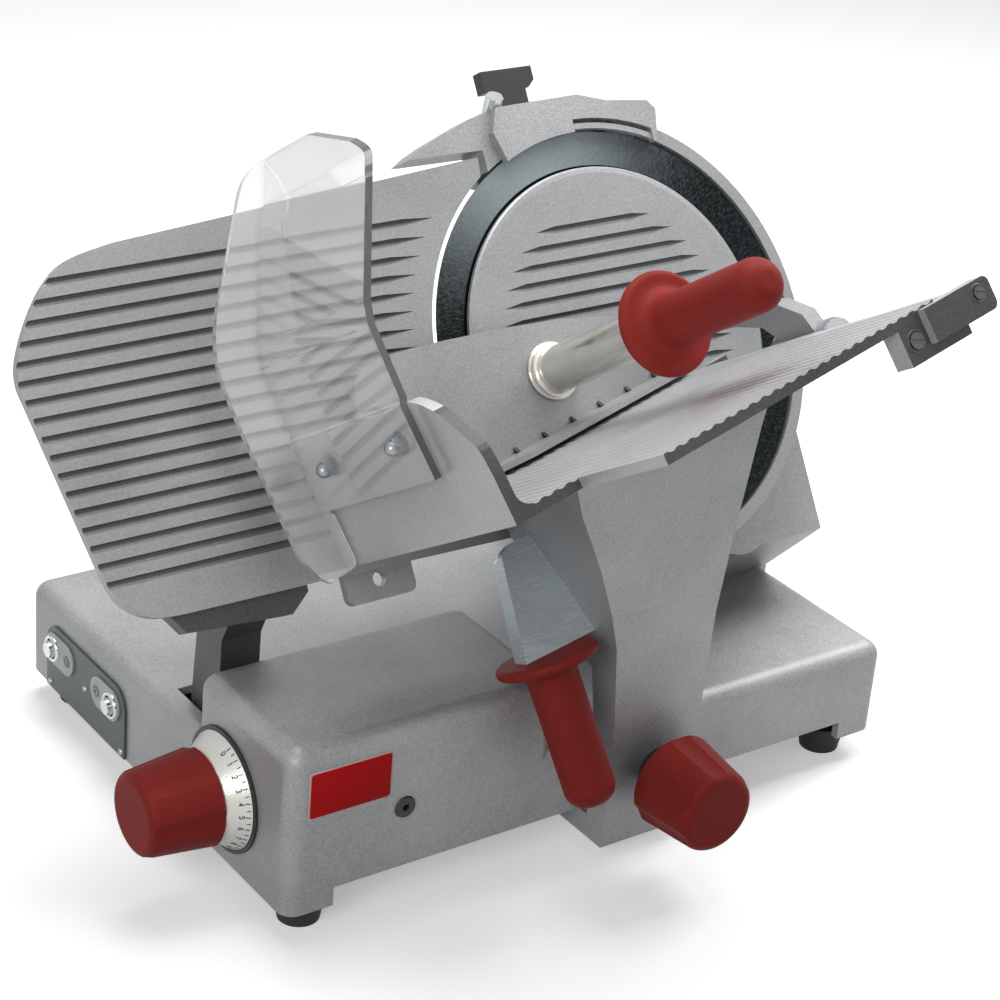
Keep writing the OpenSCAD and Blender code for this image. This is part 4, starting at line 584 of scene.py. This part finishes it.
# Each digit is drawn with lines in a box one wide and one tall. An arc is its centre's x and y, its half
# width and half height, and the angles it goes from and to.
digits = {
    "0": [("arc", 0.5, 0.5, 0.46, 0.5, 0, 360)],
    "1": [("line", (0.2, 0.78), (0.55, 1.0), (0.55, 0.0))],
    "2": [("arc", 0.5, 0.7, 0.44, 0.3, 160, -35), ("line", (0.86, 0.53), (0.06, 0.0), (0.96, 0.0))],
    "3": [("arc", 0.46, 0.75, 0.4, 0.25, 150, -90), ("arc", 0.46, 0.26, 0.46, 0.26, 90, -150)],
    "4": [("line", (0.72, 0.0), (0.72, 1.0), (0.04, 0.3), (0.98, 0.3))],
    "5": [("line", (0.9, 1.0), (0.2, 1.0), (0.12, 0.52)), ("arc", 0.46, 0.32, 0.46, 0.32, 128, -150)],
    "6": [("arc", 0.5, 0.3, 0.44, 0.3, 0, 360), ("line", (0.08, 0.36), (0.32, 0.82), (0.66, 1.0))],
    "7": [("line", (0.06, 1.0), (0.94, 1.0), (0.38, 0.0))],
    "8": [("arc", 0.5, 0.76, 0.36, 0.24, 0, 360), ("arc", 0.5, 0.27, 0.45, 0.27, 0, 360)],
    "9": [("arc", 0.5, 0.7, 0.44, 0.3, 0, 360), ("line", (0.92, 0.64), (0.68, 0.18), (0.34, 0.0))],
}


# A stroke's points: a line's own, or at each angle of an arc its centre plus its half sizes times the cosine
# and the sine
def strokePath(stroke, arcPoints):
    if stroke[0] == "line":
        return np.array(stroke[1:], float)
    _, x, y, wide, tall, start, end = stroke
    angle = np.radians(np.linspace(start, end, arcPoints))
    return np.stack([x + wide * np.cos(angle), y + tall * np.sin(angle)], -1)


# A raised line: at each point of the path, a rectangle across it, mitred by the mean of the two directions
# there. A mitre reaches out by one over the cosine of half the turn, up to its limit.
def inkLine(path, width, place, low, high):
    ahead = np.diff(path, axis=0)
    ahead /= np.linalg.norm(ahead, axis=1, keepdims=True)
    after = np.vstack([ahead, ahead[-1:]])
    way = np.vstack([ahead[:1], ahead]) + after
    way /= np.linalg.norm(way, axis=1, keepdims=True)
    reach = 1 / np.maximum(np.abs((way * after).sum(1)), 1 / mitreLimit)
    across = np.stack([-way[:, 1], way[:, 0]], -1) * (reach * width / 2)[:, None]
    left, right = path + across, path - across
    ring = [place(left, low), place(left, high), place(right, high), place(right, low)]
    return gridMesh(np.stack(ring, 1))


# A point of the cone. The angle runs clockwise from the top, and a point says how far round the cone and how
# far along its slope it is: its radius and height are the foot's plus that way along the slope, and the lift
# goes at right angles to the slope.
def onCone(look, angle, points, lift):
    (footR, footZ), (topR, topZ) = look["coneFoot"], look["coneTop"]
    slope = np.array([topR - footR, topZ - footZ])
    slope /= np.linalg.norm(slope)
    radius = footR + slope[0] * points[:, 1] + slope[1] * lift
    height = footZ + slope[1] * points[:, 1] - slope[0] * lift
    turn = angle + points[:, 0] / radius
    return onLeftFace(layout["dialCentre"], radius * np.cos(turn), -radius * np.sin(turn), height)


# Each number has a tick at its step, a shorter one half a step on, and its digits side by side
def buildScale(look):
    def inked(path, angle):
        place = lambda points, lift: onCone(look, angle, points, lift)
        return inkLine(path, look["lineWidth"], place, 0, look["ink"])

    parts = []
    halfStep = radians(look["step"]) / 2 * look["coneFoot"][0]
    for i in range(look["numbers"]):
        angle = radians(look["firstAngle"] + i * look["step"])
        for side, end in ((0, look["tickTo"]), (halfStep, look["tickTo"] * look["halfTickShare"])):
            parts.append(inked(np.array([[side, end], [side, look["tickFrom"]]]), angle))
        written = str(i)
        for j, digit in enumerate(written):
            shift = (j - (len(written) - 1) / 2) * look["digitGap"]
            for stroke in digits[digit]:
                path = strokePath(stroke, look["arcPoints"])
                flat = np.stack([(path[:, 0] - 0.5) * look["digitWidth"] + shift,
                                 look["digitFrom"] + (1 - path[:, 1]) * look["digitHeight"]], -1)
                parts.append(inked(flat, angle))
    addPiece("dial_scale", parts, "dial", "ink_and_hook_shade", smooth=False)


buildScale(scale)
print("dial scale:", scale["numbers"], "numbers")


# Bare plate on the block's front

plate = {
    "centre": (-0.1602, -0.10404, 0.1105),
    "size": (0.062, 0.0345),
    "corner": 0.002,
    "cornerStep": 15,
    "thick": 0.0009,
    "rim": 0.0009,
    # Inset and height of the outline's rings, as shares of the thickness
    "rimShares": ((0, 0), (0, 0.7), (0.3, 1)),
    "faceShares": ((0, 0.5), (0, 1.1), (0.2, 1.25)),
}


# A flat plate with round corners: its outline is a rectangle's corner points plus a circle's points about
# them, and each ring of it has its inset and height
def plateMesh(look, inset, shares):
    x, y, z = look["centre"]
    half = np.array(look["size"]) / 2 - inset
    corner, step = look["corner"], look["cornerStep"]
    angle = np.radians(np.arange(step / 2, 360, step))
    edge = np.stack([np.sign(np.cos(angle)) * (half[0] - corner) + corner * np.cos(angle),
                     np.sign(np.sin(angle)) * (half[1] - corner) + corner * np.sin(angle)], -1)
    rings = []
    for inner, height in np.array(shares) * look["thick"]:
        flat = edge - np.sign(edge) * inner
        rings.append(np.stack([x + flat[:, 0], np.full(len(flat), y - height), z + flat[:, 1]], -1))
    return gridMesh(np.stack(rings))


rimMesh = plateMesh(plate, 0, plate["rimShares"])
faceMesh = plateMesh(plate, plate["rim"], plate["faceShares"])
addPiece("front_plate_rim", [rimMesh], "base", "plate_rim")
addPiece("front_plate", [faceMesh], "base", "plate_red")
print("front: bare plate")


# Button surrounds on the left face

surround = {
    "buttonY": (0.220935, 0.130935),
    "markY": {"line": 0.198935, "ring": 0.152935},
    "height": 0.057,
    "plateOut": 0.0035,
    "rimIn": 0.0072,
    "rimOut": 0.0102,
    "rimHigh": 0.0022,
    "markR": 0.0046,
    "markHigh": 0.0004,
    "pinhole": 0.0001,  # at the middle of a turned disc
    "ink": 0.0001,
    "sides": 48,
    "rimPoints": 9,
    "ringPoints": 33,
    "borderPoints": 41,
    # Shares of the mark's radius
    "figureShare": 0.5,
    "figureWidthShare": 0.16,
    "borderShare": 0.84,
    "borderWidthShare": 0.112,
}


# A ring turned about its own axis. The profile is (radius, height) and closes on itself: at each angle, up
# is the radius times the cosine, across is the radius times the sine, and out is the height.
def turned(profile, centre, sides):
    angle = allRound(sides)[:, None]
    radius, height = np.array(profile).T
    points = onLeftFace(centre, radius * np.cos(angle), radius * np.sin(angle), height + 0 * angle)
    return gridMesh(points, closed=True)


# A closed circle: the radius times the angle's cosine and sine
def circlePath(radius, count):
    angle = np.radians(np.linspace(0, 360, count))
    return np.stack([np.cos(angle), np.sin(angle)], -1) * radius


# A chrome rim's profile is half an ellipse on the plate
def buildRims(look):
    middle, half = (look["rimOut"] + look["rimIn"]) / 2, (look["rimOut"] - look["rimIn"]) / 2
    arc = np.radians(np.linspace(0, 180, look["rimPoints"]))
    profile = np.stack([middle + half * np.cos(arc), look["plateOut"] + look["rimHigh"] * np.sin(arc)], -1)
    face = layout["dialCentre"][0]
    rims = [turned(profile, (face, y, look["height"]), look["sides"]) for y in look["buttonY"]]
    addPiece("button_rims", rims, "base", "button_chrome")


# A mark is a flat disc, with a line or a ring printed on it and a border round that
def buildMarks(look):
    radius, low, hole = look["markR"], look["plateOut"], look["pinhole"]
    top = low + look["markHigh"]
    reach = radius * look["figureShare"]
    paths = {"line": np.array([[0, -reach], [0, reach]]), "ring": circlePath(reach, look["ringPoints"])}
    border = circlePath(radius * look["borderShare"], look["borderPoints"])
    discs, figures = [], []
    for figure, y in look["markY"].items():
        centre = (layout["dialCentre"][0], y, look["height"])
        place = lambda flat, out: onLeftFace(centre, flat[:, 1], -flat[:, 0], np.full(len(flat), out))
        discs.append(turned([(hole, low), (radius, low), (radius, top), (hole, top)], centre, look["sides"]))
        for path, share in ((paths[figure], look["figureWidthShare"]), (border, look["borderWidthShare"])):
            figures.append(inkLine(path, radius * share, place, top, top + look["ink"]))
    addPiece("button_marks", discs, "base", "panel_paint")
    addPiece("button_figures", figures, "base", "plate_paint", smooth=False)


buildRims(surround)
buildMarks(surround)
print("panel:", len(surround["buttonY"]), "rims and", len(surround["markY"]), "marks")


# Slotted screws at the tray's right edge

traySlots = {
    "screws": {
        "lug_screw": {"place": (0.2515, -0.0175, 0.303), "radius": 0.0054},
        "rod_screw": {"place": (0.308, -0.010, 0.309), "radius": 0.0042},
    },
    "foot": 0.0004,
    "head": 0.0013,
    "slotHalf": 0.0008,
    "slotTurn": -20,
    "ringOut": 0.0013,
    "ringHalf": 0.0005,
    "discSides": 32,
    "arcPoints": 17,
    "ringSides": 40,
    "sectionSides": 10,
}


# A point of the tray's frame: along its floor, up from it, and out along the blade's axis
def onTray(along, rise, out):
    tilt, turn = radians(layout["bladeTilt"]), radians(layout["trayTurn"])
    x, y, z = layout["bladeCentre"]
    across = layout["trayCorner"][0] + along * cos(turn) - rise * sin(turn)
    up = layout["trayCorner"][1] + along * sin(turn) + rise * cos(turn)
    back, high = up * sin(tilt) - out * cos(tilt), up * cos(tilt) + out * sin(tilt)
    return np.stack([x + across, y + back, z + high], -1)


# A screw's head is a thin disc, on it two parts of a disc with the slot between them, and a ring round them.
# The ring's section is a circle: its reach is the ring's radius plus the section's radius times the cosine.
def slottedScrew(look, screw):
    along, rise, out = screw["place"]
    radius, turn = screw["radius"], radians(look["slotTurn"])

    # The points of a circle at these angles, turned as the slot is, at two heights
    def prism(angle, low, high):
        side, top = radius * np.cos(angle), radius * np.sin(angle)
        flat = along + side * cos(turn) - top * sin(turn), rise + side * sin(turn) + top * cos(turn)
        return gridMesh(np.stack([onTray(*flat, np.full(len(angle), out + h)) for h in (low, high)]))

    edge = np.arcsin(look["slotHalf"] / radius)
    arc = np.linspace(edge, pi - edge, look["arcPoints"])
    parts = [prism(allRound(look["discSides"]), 0, look["foot"])]
    parts += [prism(arc + start, look["foot"], look["head"]) for start in (0, pi)]
    ring, section = np.meshgrid(allRound(look["ringSides"]), allRound(look["sectionSides"]), indexing="ij")
    reach = radius + look["ringOut"] + look["ringHalf"] * np.cos(section)
    height = out + look["ringHalf"] * np.sin(section)
    points = onTray(along + reach * np.cos(ring), rise + reach * np.sin(ring), height)
    parts.append(gridMesh(points, closed=True))
    return parts


for name, screw in traySlots["screws"].items():
    addPiece(name, slottedScrew(traySlots, screw), "carriage", "screw_dark")
print("tray:", len(traySlots["screws"]), "slotted screws")
